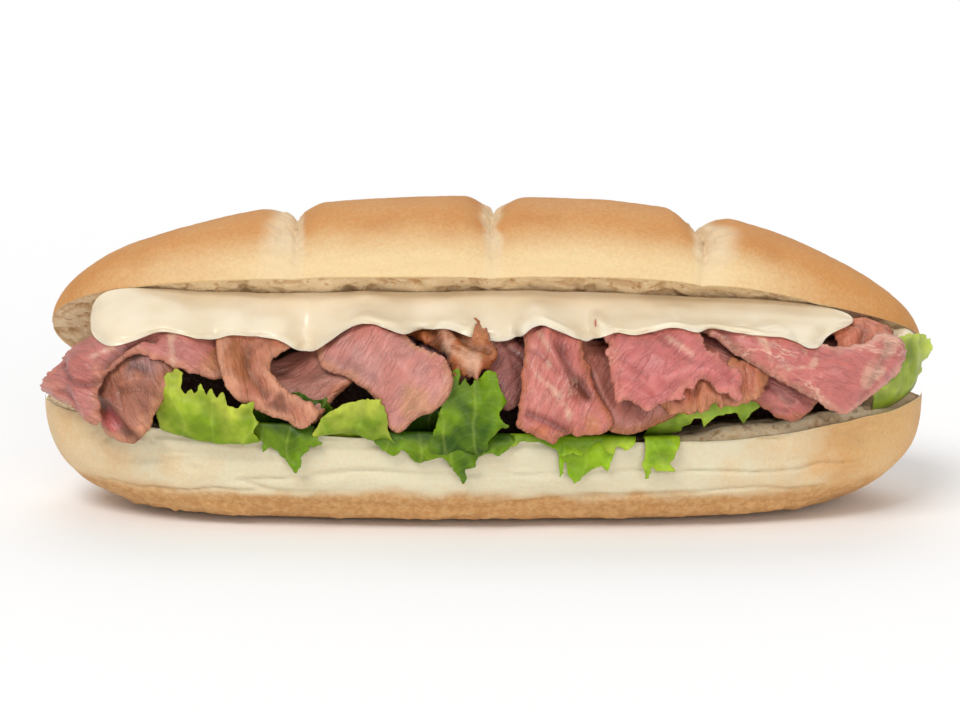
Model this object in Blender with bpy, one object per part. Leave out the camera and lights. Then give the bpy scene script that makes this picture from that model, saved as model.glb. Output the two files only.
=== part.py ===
# Roast beef roll: a long soft roll, slit along its front and left hanging together along its back crust. It holds
# frilly lettuce, folded slices of roast beef and a thick bead of mayonnaise. X runs along the roll, the open side
# faces -Y, +Z is up, and the origin is on the flat base, under the middle of the roll. Named sizes are in metres;
# the outlines of the slices and leaves are in millimetres, as they are laid out on the pile.

import math

import bmesh
import bpy
import numpy as np

MM = 0.001

# The roll
HEEL_HALF_LENGTH = 0.1005
CROWN_HALF_LENGTH = 0.0983
CROWN_SHIFT = -0.0010
HEEL_HALF_WIDTH = 0.0330
CROWN_HALF_WIDTH = 0.0315
CUT_HEIGHT = 0.0197
CUT_RISE = 0.0040
HEEL_DEPTH = 0.0212
CROWN_HEIGHT = 0.0317
CROWN_CURL = 0.0030
OPENING_ANGLE = math.radians(37)
RIGHT_CLOSING = math.radians(3)
HINGE_Y = 0.0285
HINGE_Z = 0.0202
HINGE_INSET = 0.0040
WEB_THICKNESS = 0.0055
WEB_HALF_LENGTH = 0.0915

# The three baker's cuts across the crown: where each lies along the roll, and its depth
SCORE_CUTS = [(-0.0415, 0.0030), (0.0032, 0.0036), (0.0500, 0.0046)]
SCORE_HALF_WIDTH = 0.0075

# The pile of filling has a face of its own, from its back, over its top and down its front: Y and Z across it, mm
PILE_PROFILE = [
    (16, 22.5), (6, 26.5), (-4, 31), (-12, 34.8), (-19, 36.2), (-25, 33.5),
    (-28.8, 28.8), (-32.2, 24.2), (-34.8, 20.4), (-36.2, 15), (-36.6, 9),
]
# The way that slices are stacked on it, at places along that face: mm along it, degrees forward from upright
PILE_LEAN = [(0, 0), (18, 8), (28, 16), (36, 32), (42, 52), (48, 66), (56, 76), (75, 86)]
# The beef folded up inside holds the pile higher in some places than in others: along the roll, and how much, mm
PILE_HUMPS = [
    (-100, -1), (-91, -3), (-84, -2.5), (-77, 0), (-70, 5), (-64, 2), (-58, -1), (-52, -3), (-44, -5),
    (-36, -2.5), (-30, 2), (-25, 5), (-17, 5), (-10, 4.5), (-4, 1), (0, 1), (5, 5.5), (10, 3), (15, -2),
    (21, -4), (27, -4), (33, 1), (38, 1.5), (45, -1.5), (52, 0.5), (60, 1.5), (66, -3), (72, -2), (78, 2),
    (84, 5), (90, 4), (100, 0),
]
PILE_FOOT = 20.4
PILE_HALF_LENGTH = 103
INNER_HALF_LENGTH = 88
INNER_FRONT = 12.5
INNER_BACK = 8
LATTICE_X = np.arange(-104, 105, 4.0)
LATTICE_S = np.arange(0, 74, 3.5)
SLICE_THICKNESS = 1.8
SLICE_GAP = 0.40


def clear_scene():
    for obj in list(bpy.data.objects):
        bpy.data.objects.remove(obj)


def food_material(name, colour, roughness):
    material = bpy.data.materials.new(name)
    material.use_nodes = True
    shader = material.node_tree.nodes["Principled BSDF"]
    shader.inputs["Base Color"].default_value = (*colour, 1.0)
    shader.inputs["Roughness"].default_value = roughness
    return material


def add_solid(name, points, faces, material):
    """A named object from one closed skin, its faces turned outwards."""
    mesh = bpy.data.meshes.new(name)
    mesh.from_pydata([tuple(p) for p in points], [], faces)
    work = bmesh.new()
    work.from_mesh(mesh)
    bmesh.ops.recalc_face_normals(work, faces=work.faces)
    if work.calc_volume(signed=True) < 0:
        bmesh.ops.reverse_faces(work, faces=work.faces)
    work.to_mesh(mesh)
    work.free()
    mesh.materials.append(material)
    mesh.shade_smooth()
    obj = bpy.data.objects.new(name, mesh)
    bpy.context.scene.collection.objects.link(obj)
    return obj


def lofted_skin(rings, first_tip, last_tip):
    """Points and faces of a skin through equal closed rings, drawn to a point at both ends."""
    count, around = rings.shape[:2]
    points = np.concatenate([rings.reshape(-1, 3), [first_tip, last_tip]])
    tip_a, tip_b = count * around, count * around + 1
    faces = []
    for j in range(around):
        k = (j + 1) % around
        for i in range(count - 1):
            a, b = i * around, (i + 1) * around
            faces.append((a + j, a + k, b + k, b + j))
        last = (count - 1) * around
        faces.append((tip_a, k, j))
        faces.append((tip_b, last + j, last + k))
    return points, faces


def smooth_line(points, closed=False, steps=10):
    """A smooth curve through all the points."""
    p = np.array(points, float)
    if closed:
        p = np.concatenate([p[-1:], p, p[:2]])
    else:
        p = np.concatenate([2 * p[:1] - p[1:2], p, 2 * p[-1:] - p[-2:-1]])
    t = np.linspace(0, 1, steps, endpoint=False)[:, None]
    spans = []
    for a, b, c, d in zip(p[:-3], p[1:-2], p[2:-1], p[3:]):
        bend = (2 * a - 5 * b + 4 * c - d) * t**2 + (3 * b - a - 3 * c + d) * t**3
        spans.append(0.5 * (2 * b + (c - a) * t + bend))
    line = np.concatenate(spans)
    return line if closed else np.concatenate([line, p[-2:-1]])


# The roll


def taper(x, half_length, power, root):
    """1 at the middle of a loaf and 0 at its ends: a superellipse along its length."""
    return np.clip(1 - np.abs(x / half_length) ** power, 0, None) ** (1 / root)


def loaf_stations(half_length, count):
    """Places along a loaf, closer together towards its ends."""
    turn = np.linspace(-math.pi / 2, math.pi / 2, count + 2)[1:-1]
    return half_length * np.sin(turn)


def round_section(count, squareness):
    """Across and up, from the front edge of a half loaf over its dome to the back edge, on a unit superellipse."""
    turn = np.linspace(0, math.pi, count)
    across = -np.sign(np.cos(turn)) * np.abs(np.cos(turn)) ** (2 / squareness)
    up = np.abs(np.sin(turn)) ** (2 / squareness)
    return across, up


def cut_face(across, up, count):
    """The straight way back from the last point of a section to its first, without its ends."""
    share = np.linspace(0, 1, count + 2)[1:-1]
    line_across = across[..., -1:] + (across[..., :1] - across[..., -1:]) * share
    line_up = up[..., -1:] + (up[..., :1] - up[..., -1:]) * share
    return np.concatenate([across, line_across], -1), np.concatenate([up, line_up], -1)


def heel_width(x):
    return HEEL_HALF_WIDTH * taper(x, HEEL_HALF_LENGTH, 3.2, 2.2)


def heel_cut_height(x):
    return CUT_HEIGHT + CUT_RISE * np.abs(x / HEEL_HALF_LENGTH) ** 3


def add_heel(material):
    """The lower half: flat below, round at its ends, with its knife cut curling up towards both ends."""
    x = loaf_stations(HEEL_HALF_LENGTH, 29)
    across, down = round_section(15, 2.9)
    depth = HEEL_DEPTH * taper(x, HEEL_HALF_LENGTH, 8.0, 2.2)
    y = heel_width(x)[:, None] * across
    z = np.maximum(heel_cut_height(x)[:, None] - depth[:, None] * down, 0)
    y, z = cut_face(y, z, 3)
    rings = np.stack([np.broadcast_to(x[:, None], y.shape), y, z], -1)
    tip_height = heel_cut_height(HEEL_HALF_LENGTH)
    points, faces = lofted_skin(rings, (-HEEL_HALF_LENGTH, 0, tip_height), (HEEL_HALF_LENGTH, 0, tip_height))
    return add_solid("heel", points, faces, material)


def score_depth(x, up):
    """How far the baker's cuts sink the crust at x. They are shallower low on the sides."""
    depth = np.zeros(np.broadcast(x, up).shape)
    for place, deepest in SCORE_CUTS:
        near = np.clip(1 - np.abs(x - place) / SCORE_HALF_WIDTH, 0, 1)
        depth = np.maximum(depth, deepest * near**1.6)
    return depth * np.clip(up * 1.6, 0.25, 1)


def opening_angle(x):
    """How far the crown gapes at x. It gapes a little less towards its right end."""
    share = np.clip((x - 0.025) / 0.060, 0, 1)
    return OPENING_ANGLE - RIGHT_CLOSING * share * share * (3 - 2 * share)


def opened(across, up, x):
    """Y and Z of a point of the crown, from its own section to where it stands, tipped back on the hinge."""
    out = across - (CROWN_HALF_WIDTH - HINGE_INSET)
    curl = CROWN_CURL * np.abs(x / CROWN_HALF_LENGTH) ** 4
    angle = opening_angle(x)
    y = HINGE_Y + out * np.cos(angle) + up * np.sin(angle)
    z = HINGE_Z - out * np.sin(angle) + up * np.cos(angle) + curl
    return y, z


def crown_width(x):
    return CROWN_HALF_WIDTH * taper(x, CROWN_HALF_LENGTH, 3.4, 2.1)


def add_crown(material):
    """The upper half: a dome with three cuts across it, tipped back on the hinge."""
    places = [place + step for place, _ in SCORE_CUTS for step in (-0.0075, -0.0035, -0.0012, 0.0012, 0.0035, 0.0075)]
    plain = [x for x in loaf_stations(CROWN_HALF_LENGTH, 28) if min(abs(x - p) for p in places) > 0.0020]
    x = np.array(sorted(places + plain))
    across, up = round_section(16, 2.25)
    sunk = score_depth(x[:, None], up)
    height = CROWN_HEIGHT * taper(x, CROWN_HALF_LENGTH, 2.3, 1.8)
    across = (crown_width(x)[:, None] - sunk) * across
    up = (height[:, None] - sunk) * up
    across, up = cut_face(across, up, 3)
    y, z = opened(across, up, x[:, None])
    rings = np.stack([np.broadcast_to(x[:, None] + CROWN_SHIFT, y.shape), y, z], -1)
    tip_y, tip_z = opened(0, 0, CROWN_HALF_LENGTH)
    ends = [(CROWN_SHIFT + side * CROWN_HALF_LENGTH, tip_y, tip_z) for side in (-1, 1)]
    points, faces = lofted_skin(rings, *ends)
    return add_solid("crown", points, faces, material)


def add_web(material):
    """The uncut crumb along the back, from inside the heel up into the crown. It runs on round towards both ends."""
    x = WEB_HALF_LENGTH * np.sin(np.linspace(-1.4, 1.4, 15))
    sunk = 0.0015
    low_z = heel_cut_height(x) - sunk
    heel_y = heel_width(x) - sunk
    crown_across = crown_width(x - CROWN_SHIFT) - sunk
    top_y, top_z = opened(crown_across, sunk, x - CROWN_SHIFT)
    inner_y, inner_z = opened(crown_across - WEB_THICKNESS, sunk, x - CROWN_SHIFT)
    middle_y = (heel_y + top_y) / 2 + 0.0012
    middle_z = (low_z + top_z) / 2
    y = np.stack([heel_y - WEB_THICKNESS, heel_y, middle_y, top_y, inner_y], -1)
    z = np.stack([low_z, low_z, middle_z, top_z, inner_z], -1)
    rings = np.stack([np.broadcast_to(x[:, None], y.shape), y, z], -1)
    tips = [rings[i].mean(0) + np.array([step, 0, 0]) for i, step in ((0, -0.0012), (-1, 0.0012))]
    points, faces = lofted_skin(rings, *tips)
    return add_solid("web", points, faces, material)


def add_roll():
    """Heel, crown and the web along the back made one piece, as they still hang together."""
    crust = food_material("crust", (0.72, 0.45, 0.20), 0.6)
    heel = add_heel(crust)
    crown = add_crown(crust)
    web = add_web(crust)
    for half in (crown, web):
        union = heel.modifiers.new("hinge", "BOOLEAN")
        union.operation = "UNION"
        union.solver = "EXACT"
        union.object = half
    graph = bpy.context.evaluated_depsgraph_get()
    mesh = bpy.data.meshes.new_from_object(heel.evaluated_get(graph))
    mesh.name = "roll"
    roll = bpy.data.objects.new("roll", mesh)
    bpy.context.scene.collection.objects.link(roll)
    for half in (heel, crown, web):
        bpy.data.objects.remove(half)
    return roll


# The pile


def pile_point(x, s, n):
    """Where a place on the pile is: x along the roll, s along the pile's face, n outwards from it. All in mm."""
    line = smooth_line(PILE_PROFILE)
    run = np.concatenate([[0], np.cumsum(np.hypot(*np.diff(line, axis=0).T))])
    lean = np.radians(np.interp(s, *zip(*PILE_LEAN)))
    end = np.clip(np.abs(x) / PILE_HALF_LENGTH, 0, 0.999)
    splay = math.radians(60) * end**6
    y = np.interp(s, run, line[:, 0]) * (1 - end**4) ** (1 / 2.4)
    lift = np.interp(s, run, line[:, 1]) - PILE_FOOT
    z = PILE_FOOT + lift * (1 - (0.97 * end) ** 6) ** 0.5 + CUT_RISE / MM * end**3
    out_x = np.sign(x) * np.sin(splay)
    out_y = -np.sin(lean) * np.cos(splay)
    out_z = np.cos(lean) * np.cos(splay)
    return np.stack([x + out_x * n, y + out_y * n, z + out_z * n], -1)


def signed_reach(outline, x, s):
    """How far each place lies inside a closed outline, in mm. It is below zero outside."""
    line = smooth_line(outline, closed=True, steps=6)
    a, b = line, np.roll(line, -1, axis=0)
    p = np.stack([x, s], -1)[..., None, :]
    along = np.clip(((p - a) * (b - a)).sum(-1) / np.maximum(((b - a) ** 2).sum(-1), 1e-9), 0, 1)
    away = p - a - along[..., None] * (b - a)
    distance = np.sqrt((away**2).sum(-1)).min(-1)
    spans = (a[:, 1] > p[..., 1]) != (b[:, 1] > p[..., 1])
    rise = np.where(b[:, 1] == a[:, 1], 1e-9, b[:, 1] - a[:, 1])
    crossing = a[:, 0] + (p[..., 1] - a[:, 1]) / rise * (b[:, 0] - a[:, 0])
    within = (spans & (p[..., 0] < crossing)).sum(-1) % 2 == 1
    return np.where(within, distance, -distance)


def neighbours(values, beyond=None):
    """The values on the lattice and their eight neighbours. Past its border they go on, or are the value given."""
    wide = np.pad(values, 1, mode="edge") if beyond is None else np.pad(values, 1, constant_values=beyond)
    rows, cols = values.shape
    return np.stack([wide[i : i + rows, j : j + cols] for i in range(3) for j in range(3)])


def only_largest(reach):
    """Keeps the largest patch of places inside an outline."""
    inside = reach > 0
    left = inside.copy()
    best = np.zeros_like(inside)
    while left.any():
        patch = np.zeros_like(inside)
        patch[tuple(np.argwhere(left)[0])] = True
        while True:
            grown = neighbours(patch, False).any(0) & inside
            if (grown == patch).all():
                break
            patch = grown
        left &= ~patch
        if patch.sum() > best.sum():
            best = patch
    return np.where(inside & ~best, -0.5, reach)


def sheet_skin(reach, upper, lower):
    """Closed skin of the part of a lattice that lies inside an outline, between an upper and a lower face."""
    points = []
    index = {}

    def corner(i, j):
        if (i, j) not in index:
            index[i, j] = len(points)
            points.append(upper[i, j])
            points.append(lower[i, j])
        return index[i, j]

    def crossing(p, q):
        key = (min(p, q), max(p, q))
        if key not in index:
            a, b = key
            share = min(max(reach[a] / (reach[a] - reach[b]), 0.22), 0.78)
            high = upper[a] + (upper[b] - upper[a]) * share
            low = lower[a] + (lower[b] - lower[a]) * share
            index[key] = len(points)
            points.append(low + (high - low) * 0.70)
            points.append(low + (high - low) * 0.30)
        return index[key]

    faces = []
    rows, cols = reach.shape
    for i in range(rows - 1):
        for j in range(cols - 1):
            for tri in (((i, j), (i + 1, j), (i + 1, j + 1)), ((i, j), (i + 1, j + 1), (i, j + 1))):
                ring, rim = [], []
                for p, q in zip(tri, tri[1:] + tri[:1]):
                    if reach[p] > 0:
                        ring.append(corner(*p))
                    if (reach[p] > 0) != (reach[q] > 0):
                        ring.append(crossing(p, q))
                        rim.append((ring[-1], reach[p] > 0))
                for k in range(1, len(ring) - 1):
                    faces.append((ring[0], ring[k], ring[k + 1]))
                    faces.append((ring[0] + 1, ring[k + 1] + 1, ring[k] + 1))
                if rim:
                    leaving = next(v for v, out in rim if out)
                    entering = next(v for v, out in rim if not out)
                    faces.append((entering, leaving, leaving + 1))
                    faces.append((entering, leaving + 1, entering + 1))
    return points, faces


# The beef

# Each slice from the bottom of the stack to its top: its outline on the pile's face, (x, s) in mm, and a bump
# where a fold of its own holds it up, (x, s, half-width, half-height, rise) in mm
BEEF = {
    "beef_01": {
        "outline": [(-96, 34), (-94, 22), (-91, 6), (-82, 2), (-79, 22), (-81, 40), (-88, 45), (-95, 44)],
        "colour": (0.55, 0.26, 0.20),
    },
    "beef_02": {
        "outline": [
            (-87, 48), (-83, 43), (-77, 40), (-72, 38), (-67, 41), (-68, 47), (-70, 50), (-72, 54), (-74, 58),
            (-77, 62), (-81, 63), (-85, 60), (-87, 54),
        ],
        "bump": (-76, 52, 8, 9, 4.0),
        "colour": (0.34, 0.12, 0.07),
    },
    "beef_03": {
        "outline": [
            (-53, 26), (-50, 5), (-38, 2), (-30, 22), (-29, 44), (-30, 47), (-33, 49), (-35, 52), (-38, 55), (-42, 54),
            (-47, 52), (-53, 49), (-55, 42),
        ],
        "colour": (0.48, 0.20, 0.14),
    },
    "beef_04": {
        "outline": [(-25, 22), (-20, 4), (-9, 3), (-4, 22), (-4, 34), (-2, 44), (-7, 46), (-13, 42), (-20, 38), (-25, 34)],
        "colour": (0.44, 0.20, 0.16),
    },
    "beef_05": {
        "outline": [(-1, 22), (2, 5), (9, 4), (12, 22), (13, 33), (12, 40), (10, 46), (6, 52), (3, 50), (0, 45), (-2, 36)],
        "colour": (0.30, 0.10, 0.08),
    },
    "beef_06": {
        "outline": [(15, 24), (24, 18), (28, 33), (29, 46), (29, 53), (24, 53), (20, 48), (17, 42), (15, 33)],
        "colour": (0.36, 0.13, 0.10),
    },
    "beef_07": {
        "outline": [(43, 22), (52, 18), (53, 33), (56, 42), (60, 48), (56, 51), (49, 47), (43, 40), (41, 33)],
        "colour": (0.28, 0.10, 0.09),
    },
    "beef_08": {
        "outline": [(63, 24), (67, 4), (80, 2), (89, 20), (88, 39), (80, 43), (72, 42), (66, 38), (64, 33)],
        "colour": (0.46, 0.20, 0.16),
    },
    "beef_09": {
        "outline": [
            (21, 26), (25, 5), (38, 3), (45, 24), (47, 46), (45, 51), (42, 54), (37, 56), (32, 58), (27, 56), (24, 52),
            (21, 47), (20, 40), (19, 34),
        ],
        "colour": (0.48, 0.21, 0.17),
    },
    "beef_10": {
        "outline": [
            (44, 32), (49, 24), (58, 20), (66, 40), (71, 47), (74, 51), (71, 55), (67, 56), (62, 53), (57, 49),
            (53, 46), (49, 41), (45, 37),
        ],
        "colour": (0.45, 0.15, 0.13),
    },
    "beef_11": {
        "outline": [
            (-9, 28), (-4, 28), (0, 34), (2, 40), (2, 45), (-5, 46), (-10, 42), (-14, 38), (-20, 35), (-20, 31),
            (-14, 29),
        ],
        "bump": (-6, 32, 5, 6, 2.5),
        "colour": (0.55, 0.24, 0.13),
    },
    "beef_12": {
        "outline": [
            (-90, 30), (-80, 18), (-68, 12), (-56, 20), (-50, 38), (-51, 46), (-58, 46), (-65, 46), (-70, 44),
            (-75, 43), (-80, 45), (-84, 50), (-83, 57), (-86, 59), (-90, 55), (-95, 54), (-99, 50), (-95, 45),
            (-91, 40),
        ],
        "colour": (0.60, 0.25, 0.20),
    },
    "beef_13": {
        "outline": [
            (-37, 40), (-37, 28), (-30, 18), (-22, 20), (-21, 32), (-16, 40), (-9, 44), (-7, 48), (-10, 52),
            (-15, 54), (-19, 57), (-22, 54), (-25, 49), (-30, 46), (-35, 44),
        ],
        "colour": (0.60, 0.28, 0.22),
    },
    "beef_14": {
        "outline": [(77, 28), (80, 18), (86, 20), (88.5, 30), (88, 40), (84.5, 44), (79, 44), (77, 36)],
        "bump": (83, 32, 6, 9, 2.0),
        "colour": (0.62, 0.27, 0.17),
    },
    "beef_15": {
        "outline": [(39, 52), (41, 47), (48, 45), (55, 45), (61, 45), (62, 50), (59, 54), (53, 54), (46, 55), (41, 55)],
        "colour": (0.52, 0.22, 0.13),
    },
    "beef_16": {
        "outline": [
            (46, 33), (51, 24), (58, 16), (65, 22), (68, 38), (74, 42), (81, 42), (86, 39), (89.5, 42), (88.5, 47),
            (85, 51), (81, 55), (77, 55), (72, 52), (67, 49), (61, 46), (55, 42), (49, 38),
        ],
        "colour": (0.62, 0.24, 0.20),
    },
    "beef_17": {
        "outline": [
            (10, 26), (16, 20), (20, 28), (21, 38), (23, 45), (26, 51), (28, 56), (24, 58), (18, 58), (15, 60),
            (11, 58), (8, 56), (8, 52), (9, 46), (9, 38), (9, 32),
        ],
        "colour": (0.62, 0.25, 0.20),
    },
    "beef_18": {
        "outline": [
            (27, 28), (34, 16), (45, 22), (44, 36), (49, 43), (55, 47), (55, 51), (49, 49), (43, 50), (36, 52),
            (29, 50), (28, 42), (26, 36),
        ],
        "colour": (0.66, 0.27, 0.24),
    },
    "beef_19": {
        "outline": [
            (-58, 34), (-56, 28), (-48, 26), (-43, 32), (-42, 38), (-47, 42), (-46, 47), (-41, 50), (-37, 53),
            (-40, 56), (-47, 54), (-54, 51), (-58, 45), (-59, 39),
        ],
        "colour": (0.52, 0.22, 0.14),
    },
}


def soft_bump(x, s, bump):
    """How far one hidden fold holds a slice up."""
    middle_x, middle_s, wide, high, most = bump
    return most * np.exp(-(((x - middle_x) / wide) ** 2) - ((s - middle_s) / high) ** 2)


def hump_height(x, s):
    """How high the slices lie over the pile's face on what is folded up inside, mm."""
    return np.interp(x, *smooth_line(PILE_HUMPS).T) * np.clip((60 - s) / 18, 0, 1) * np.clip(s / 16, 0, 1)


def add_inner_folds():
    """The beef folded up inside, which the slices rest on and the gaps between them show."""
    x, s = np.meshgrid(LATTICE_X, LATTICE_S, indexing="ij")
    height = neighbours(hump_height(x, s)).min(0)
    rows = np.abs(LATTICE_X) <= INNER_HALF_LENGTH
    rows[1::2] = False
    top = pile_point(x, s, height - 0.3)[rows, 1:13:2]
    place = LATTICE_X[rows]
    width = heel_width(place * MM) / MM
    floor = heel_cut_height(place * MM) / MM + 0.5
    front = np.stack([place, INNER_FRONT - width, floor], -1)
    back = np.stack([place, np.minimum(width - INNER_BACK, 14), floor], -1)
    rings = np.concatenate([top, front[:, None], back[:, None]], 1)
    tips = [rings[i].mean(0) + np.array([step, 0, 0]) for i, step in ((0, -2), (-1, 2))]
    points, faces = lofted_skin(rings * MM, tips[0] * MM, tips[1] * MM)
    add_solid("beef_inner", points, faces, food_material("beef_inner", (0.25, 0.09, 0.07), 0.5))


def add_beef():
    """The slices, each laid over those before it. Returns how high the pile then stands on its lattice."""
    x, s = np.meshgrid(LATTICE_X, LATTICE_S, indexing="ij")
    height = hump_height(x, s)
    edge = (x == x.max()) | (x == x.min()) | (s == s.max()) | (s == s.min())
    for name, slice_ in BEEF.items():
        reach = signed_reach(slice_["outline"], x, s)
        reach = only_largest(np.where(edge, -1.0, reach))
        resting = neighbours(height).max(0)
        resting = np.maximum(neighbours(resting).mean(0), height)
        low = resting + SLICE_GAP + soft_bump(x, s, slice_.get("bump", (0, 0, 1, 1, 0)))
        high = low + SLICE_THICKNESS
        points, faces = sheet_skin(reach, pile_point(x, s, high) * MM, pile_point(x, s, low) * MM)
        add_solid(name, points, faces, food_material(name, slice_["colour"], 0.45))
        touched = neighbours(reach > 0, False).any(0)
        height = np.where(touched, high, height)
    return height


# The mayonnaise

# Along the roll, mm: where the bead's front is back from the crown's cut edge, and how deep it hangs there
MAYO_FRONT = [(-88, 11), (-80, 10), (-60, 9.5), (-30, 10), (-10, 8), (20, 8), (50, 9.5), (75, 9.5), (83, 12)]
MAYO_DEPTH = [
    (-88, 8.5), (-80, 8.5), (-68, 5), (-60, 7.5), (-50, 10), (-42, 11), (-34, 9), (-26, 5), (-18, 5),
    (-8, 7.5), (0, 9), (6, 6), (12, 6), (20, 9.5), (28, 9), (36, 7), (48, 7), (60, 8), (72, 8.5), (83, 8),
]
MAYO_BACK = 0.018
MAYO_MIDDLE = -2.5
MAYO_HALF_LENGTH = 85.5


def mayo_point(x, w, t):
    """Where a place under the crown is: w from the hinge along the cut, t down from it, in metres."""
    curl = CROWN_CURL * np.abs(x / CROWN_HALF_LENGTH) ** 4
    angle = opening_angle(x)
    y = HINGE_Y - w * np.cos(angle) - t * np.sin(angle)
    z = HINGE_Z + w * np.sin(angle) - t * np.cos(angle) + curl
    return np.stack([x, y, z], -1)


def room_below_crown(height):
    """The least room between the crown's cut and the beef, on a grid of mm along the roll and from the hinge."""
    x, s = np.meshgrid(LATTICE_X, LATTICE_S, indexing="ij")
    top = pile_point(x, s, height) * MM
    steps = np.linspace(0, 1, 5)
    room = np.full((220, 80), 0.03)
    for i in steps:
        rows = top[:-1] + (top[1:] - top[:-1]) * i
        for j in steps:
            p = rows[:, :-1] + (rows[:, 1:] - rows[:, :-1]) * j
            curl = CROWN_CURL * np.abs(p[..., 0] / CROWN_HALF_LENGTH) ** 4
            angle = opening_angle(p[..., 0])
            back, up = p[..., 1] - HINGE_Y, p[..., 2] - HINGE_Z - curl
            w = -back * np.cos(angle) + up * np.sin(angle)
            t = -back * np.sin(angle) - up * np.cos(angle)
            cell = (np.round(p[..., 0] / MM).astype(int) + 110, np.clip(np.round(w / MM).astype(int), 0, 79))
            np.minimum.at(room, cell, t)
    return neighbours(room, 0.03).min(0)


def add_mayonnaise(height):
    """A thick bead under the crown's cut: level above, drooping to the beef below, round along its front."""
    x = MAYO_MIDDLE + MAYO_HALF_LENGTH * np.sin(np.linspace(-1.45, 1.45, 36)) / math.sin(1.45)
    ends = np.clip(1 - np.abs((x - MAYO_MIDDLE) / (MAYO_HALF_LENGTH + 0.4)) ** 9, 0, 1) ** 0.5
    front = (CROWN_HALF_WIDTH - HINGE_INSET) * 2 + HINGE_INSET - np.interp(x, *zip(*MAYO_FRONT)) * MM
    depth = np.interp(x, *zip(*MAYO_DEPTH)) * MM
    share = np.array([0, 0.3, 0.55, 0.75, 0.87, 0.95, 1.0])
    w = MAYO_BACK + (front - MAYO_BACK)[:, None] * share * (0.9 + 0.1 * ends[:, None])
    x = np.broadcast_to(x[:, None], w.shape)
    bulb = np.array([0, 0, 0, 0, 0.85, 1.0, 0.55])
    slope = 0.0012 + 0.0035 * np.clip(share, 0, 0.9) ** 3
    wanted = np.where(share > 0.8, depth[:, None] * bulb * ends[:, None], slope) + 0.0005
    cell = (np.round(x / 1).astype(int) + 110, np.clip(np.round(w / MM).astype(int), 0, 79))
    under = np.minimum(wanted, room_below_crown(height)[cell] - 0.0005)
    over = np.full(w.shape, 0.0003)
    under = np.maximum(under, over + 0.0005)
    top = mayo_point(x * MM, w, over)
    low = mayo_point(x * MM, w, under)
    rings = np.concatenate([top, low[:, ::-1]], 1)
    tips = [rings[i].mean(0) for i in (0, -1)]
    points, faces = lofted_skin(rings, *tips)
    add_solid("mayonnaise", points, faces, food_material("mayonnaise", (0.86, 0.76, 0.52), 0.25))


# The lettuce

# Each leaf: how many leaves lie under it, how far inside the lip it turns and its root lies, mm, and its free edge.
# The edge gives places along the lip, mm from the front middle of the roll, the way the leaf turns there, in degrees
# up from level, and how far it then reaches, mm
LETTUCE = {
    "lettuce_1": {
        "layer": 1,
        "edge": [(-67.5, 80, 13), (-65, 86, 17), (-60, 85, 13), (-55, 80, 11), (-50, 65, 7), (-46, 10, 4), (-42, -30, 3)],
    },
    "lettuce_2": {
        "layer": 0,
        "edge": [(-50, -60, 2), (-45, -75, 5), (-40, -82, 9), (-36, -75, 6), (-31, -60, 3), (-26, -50, 2), (-22, -60, 3)],
    },
    "lettuce_3": {
        "layer": 0,
        "edge": [(-20, -60, 3), (-14, -72, 5), (-8, -78, 6), (-3, -84, 11), (1, -78, 6), (5, -60, 3), (8, -50, 2)],
    },
    "lettuce_4": {
        "layer": 1,
        "edge": [(-12, 50, 7), (-9, 72, 12), (-5, 80, 16), (-1, 82, 17), (3, 80, 16), (5, 78, 12)],
    },
    "lettuce_5": {
        "layer": 1,
        "edge": [
            (9, -50, 2), (15, -70, 6), (20, -84, 11), (25, -70, 6), (30, -55, 3), (34, -68, 6), (38, -82, 9),
            (43, -60, 3), (48, -45, 2), (54, -65, 5), (58, -50, 2),
        ],
    },
    "lettuce_6": {
        "layer": 0,
        "inset": 3,
        "root": 7,
        "edge": [(91, 88, 9), (96, 92, 13), (101, 95, 15), (106, 95, 13), (108, 90, 10)],
    },
}
LEAF_THICKNESS = 0.0007
LEAF_GAP = 0.00035
LEAF_ROOT = 11.5
LEAF_STEP = 2.1


def lip_place(q):
    """X, Y of the heel's lip at q, its distance from the front middle of the roll, and the way out there."""
    turn = np.linspace(-math.pi / 2, math.pi / 2, 721)
    x = HEEL_HALF_LENGTH * np.sign(turn) * np.abs(np.sin(turn)) ** (2 / 3.2)
    y = -HEEL_HALF_WIDTH * np.abs(np.cos(turn)) ** (2 / 2.2)
    run = np.concatenate([[0], np.cumsum(np.hypot(np.diff(x), np.diff(y)))])
    run -= run[360]
    px, py = np.interp(q, run, x), np.interp(q, run, y)
    ax, ay = np.interp(q + 0.002, run, x), np.interp(q + 0.002, run, y)
    bx, by = np.interp(q - 0.002, run, x), np.interp(q - 0.002, run, y)
    length = np.hypot(ax - bx, ay - by)
    return px, py, (ay - by) / length, -(ax - bx) / length


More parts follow.
